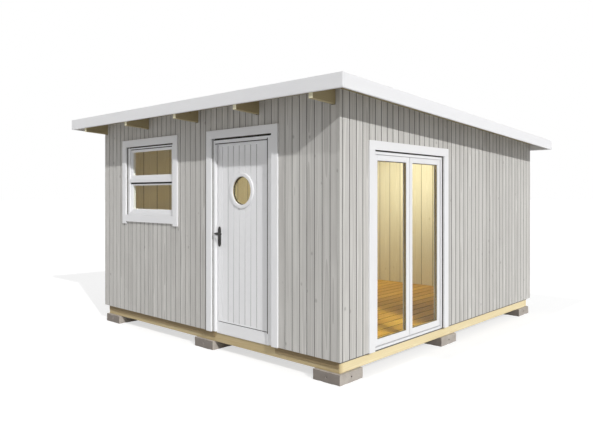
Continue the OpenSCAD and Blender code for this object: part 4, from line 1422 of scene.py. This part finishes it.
# %% Lamp in the room
ROOM_LEVEL, ROOM_SIZE, ROOM_TINT = 29.0, (0.9, 0.4), colour(255, 252, 244)
ROOM_SPOT, ROOM_WAY = (0.40, 0.60, 2.10), Vector((-0.9, 1.0, -0.45))
room_lamp = bpy.data.lights.new("room_light", "AREA")
room_lamp.shape = "RECTANGLE"
room_lamp.size, room_lamp.size_y = ROOM_SIZE
room_lamp.energy = ROOM_LEVEL
room_lamp.color = ROOM_TINT[:3]
room = hang("room_light", room_lamp, ROOM_WAY)
room.location = ROOM_SPOT
room.visible_camera = False
room.visible_glossy = False
room.visible_transmission = False
print("room lamp at", ROOM_SPOT, "with", ROOM_LEVEL, "watts")

# %% World
SKY_RIM, SKY_TOP = 0.30, 0.50


def seen_rays(tree):
    """1 for rays of the camera, of mirrors and through glass."""
    path = add(tree, "ShaderNodeLightPath").outputs
    either = add(tree, "ShaderNodeMath", {0: path["Is Camera Ray"], 1: path["Is Glossy Ray"]},
                 operation="MAXIMUM").outputs[0]
    return add(tree, "ShaderNodeMath", {0: either, 1: path["Is Transmission Ray"]},
               operation="MAXIMUM").outputs[0]


world = bpy.data.worlds.new("studio")
world.use_nodes = True
bpy.context.scene.world = world
sky = world.node_tree.nodes["Background"]
sky.inputs["Color"].default_value = (1, 1, 1, 1)
way = add(world.node_tree, "ShaderNodeTexCoord").outputs["Generated"]
climb = add(world.node_tree, "ShaderNodeSeparateXYZ", {0: way}).outputs["Z"]
dome = add(world.node_tree, "ShaderNodeMapRange", {"Value": climb, "To Min": SKY_RIM, "To Max": SKY_TOP})
level = add(world.node_tree, "ShaderNodeMapRange",
            {"Value": seen_rays(world.node_tree), "To Min": dome.outputs[0], "To Max": 1.0})
world.node_tree.links.new(level.outputs[0], sky.inputs["Strength"])
print("world is", SKY_RIM, "at the horizon and", SKY_TOP, "overhead")

# %% Floor of the studio
BOUNCE, SEEN_FLOOR, FLOOR_GLOW, FLOOR_HALF = 0.63, 0.45, 0.64, 150.0
floor_finish, tree, shader = new_finish("studio_floor")
shader.inputs["Base Color"].default_value = (BOUNCE, BOUNCE, BOUNCE, 1)
shader.inputs["Roughness"].default_value = 0.9
shader.inputs["Specular IOR Level"].default_value = 0.0
pale = add(tree, "ShaderNodeBsdfDiffuse", {"Color": (SEEN_FLOOR, SEEN_FLOOR, SEEN_FLOOR, 1)})
glow = add(tree, "ShaderNodeEmission", {"Color": (1, 1, 1, 1), "Strength": FLOOR_GLOW})
shown = add(tree, "ShaderNodeAddShader", {0: pale.outputs[0], 1: glow.outputs[0]})
floor_mix = add(tree, "ShaderNodeMixShader", {0: seen_rays(tree), 1: shader.outputs[0], 2: shown.outputs[0]})
tree.links.new(floor_mix.outputs[0], tree.nodes["Material Output"].inputs["Surface"])

bm = bmesh.new()
bmesh.ops.create_grid(bm, x_segments=2, y_segments=2, size=FLOOR_HALF)
studio_floor = as_object("studio_floor", bm)
studio_floor.data.materials.append(floor_finish)
print("studio floor is", 2 * FLOOR_HALF, "m wide")

bpy.context.scene.view_settings.view_transform = "Standard"
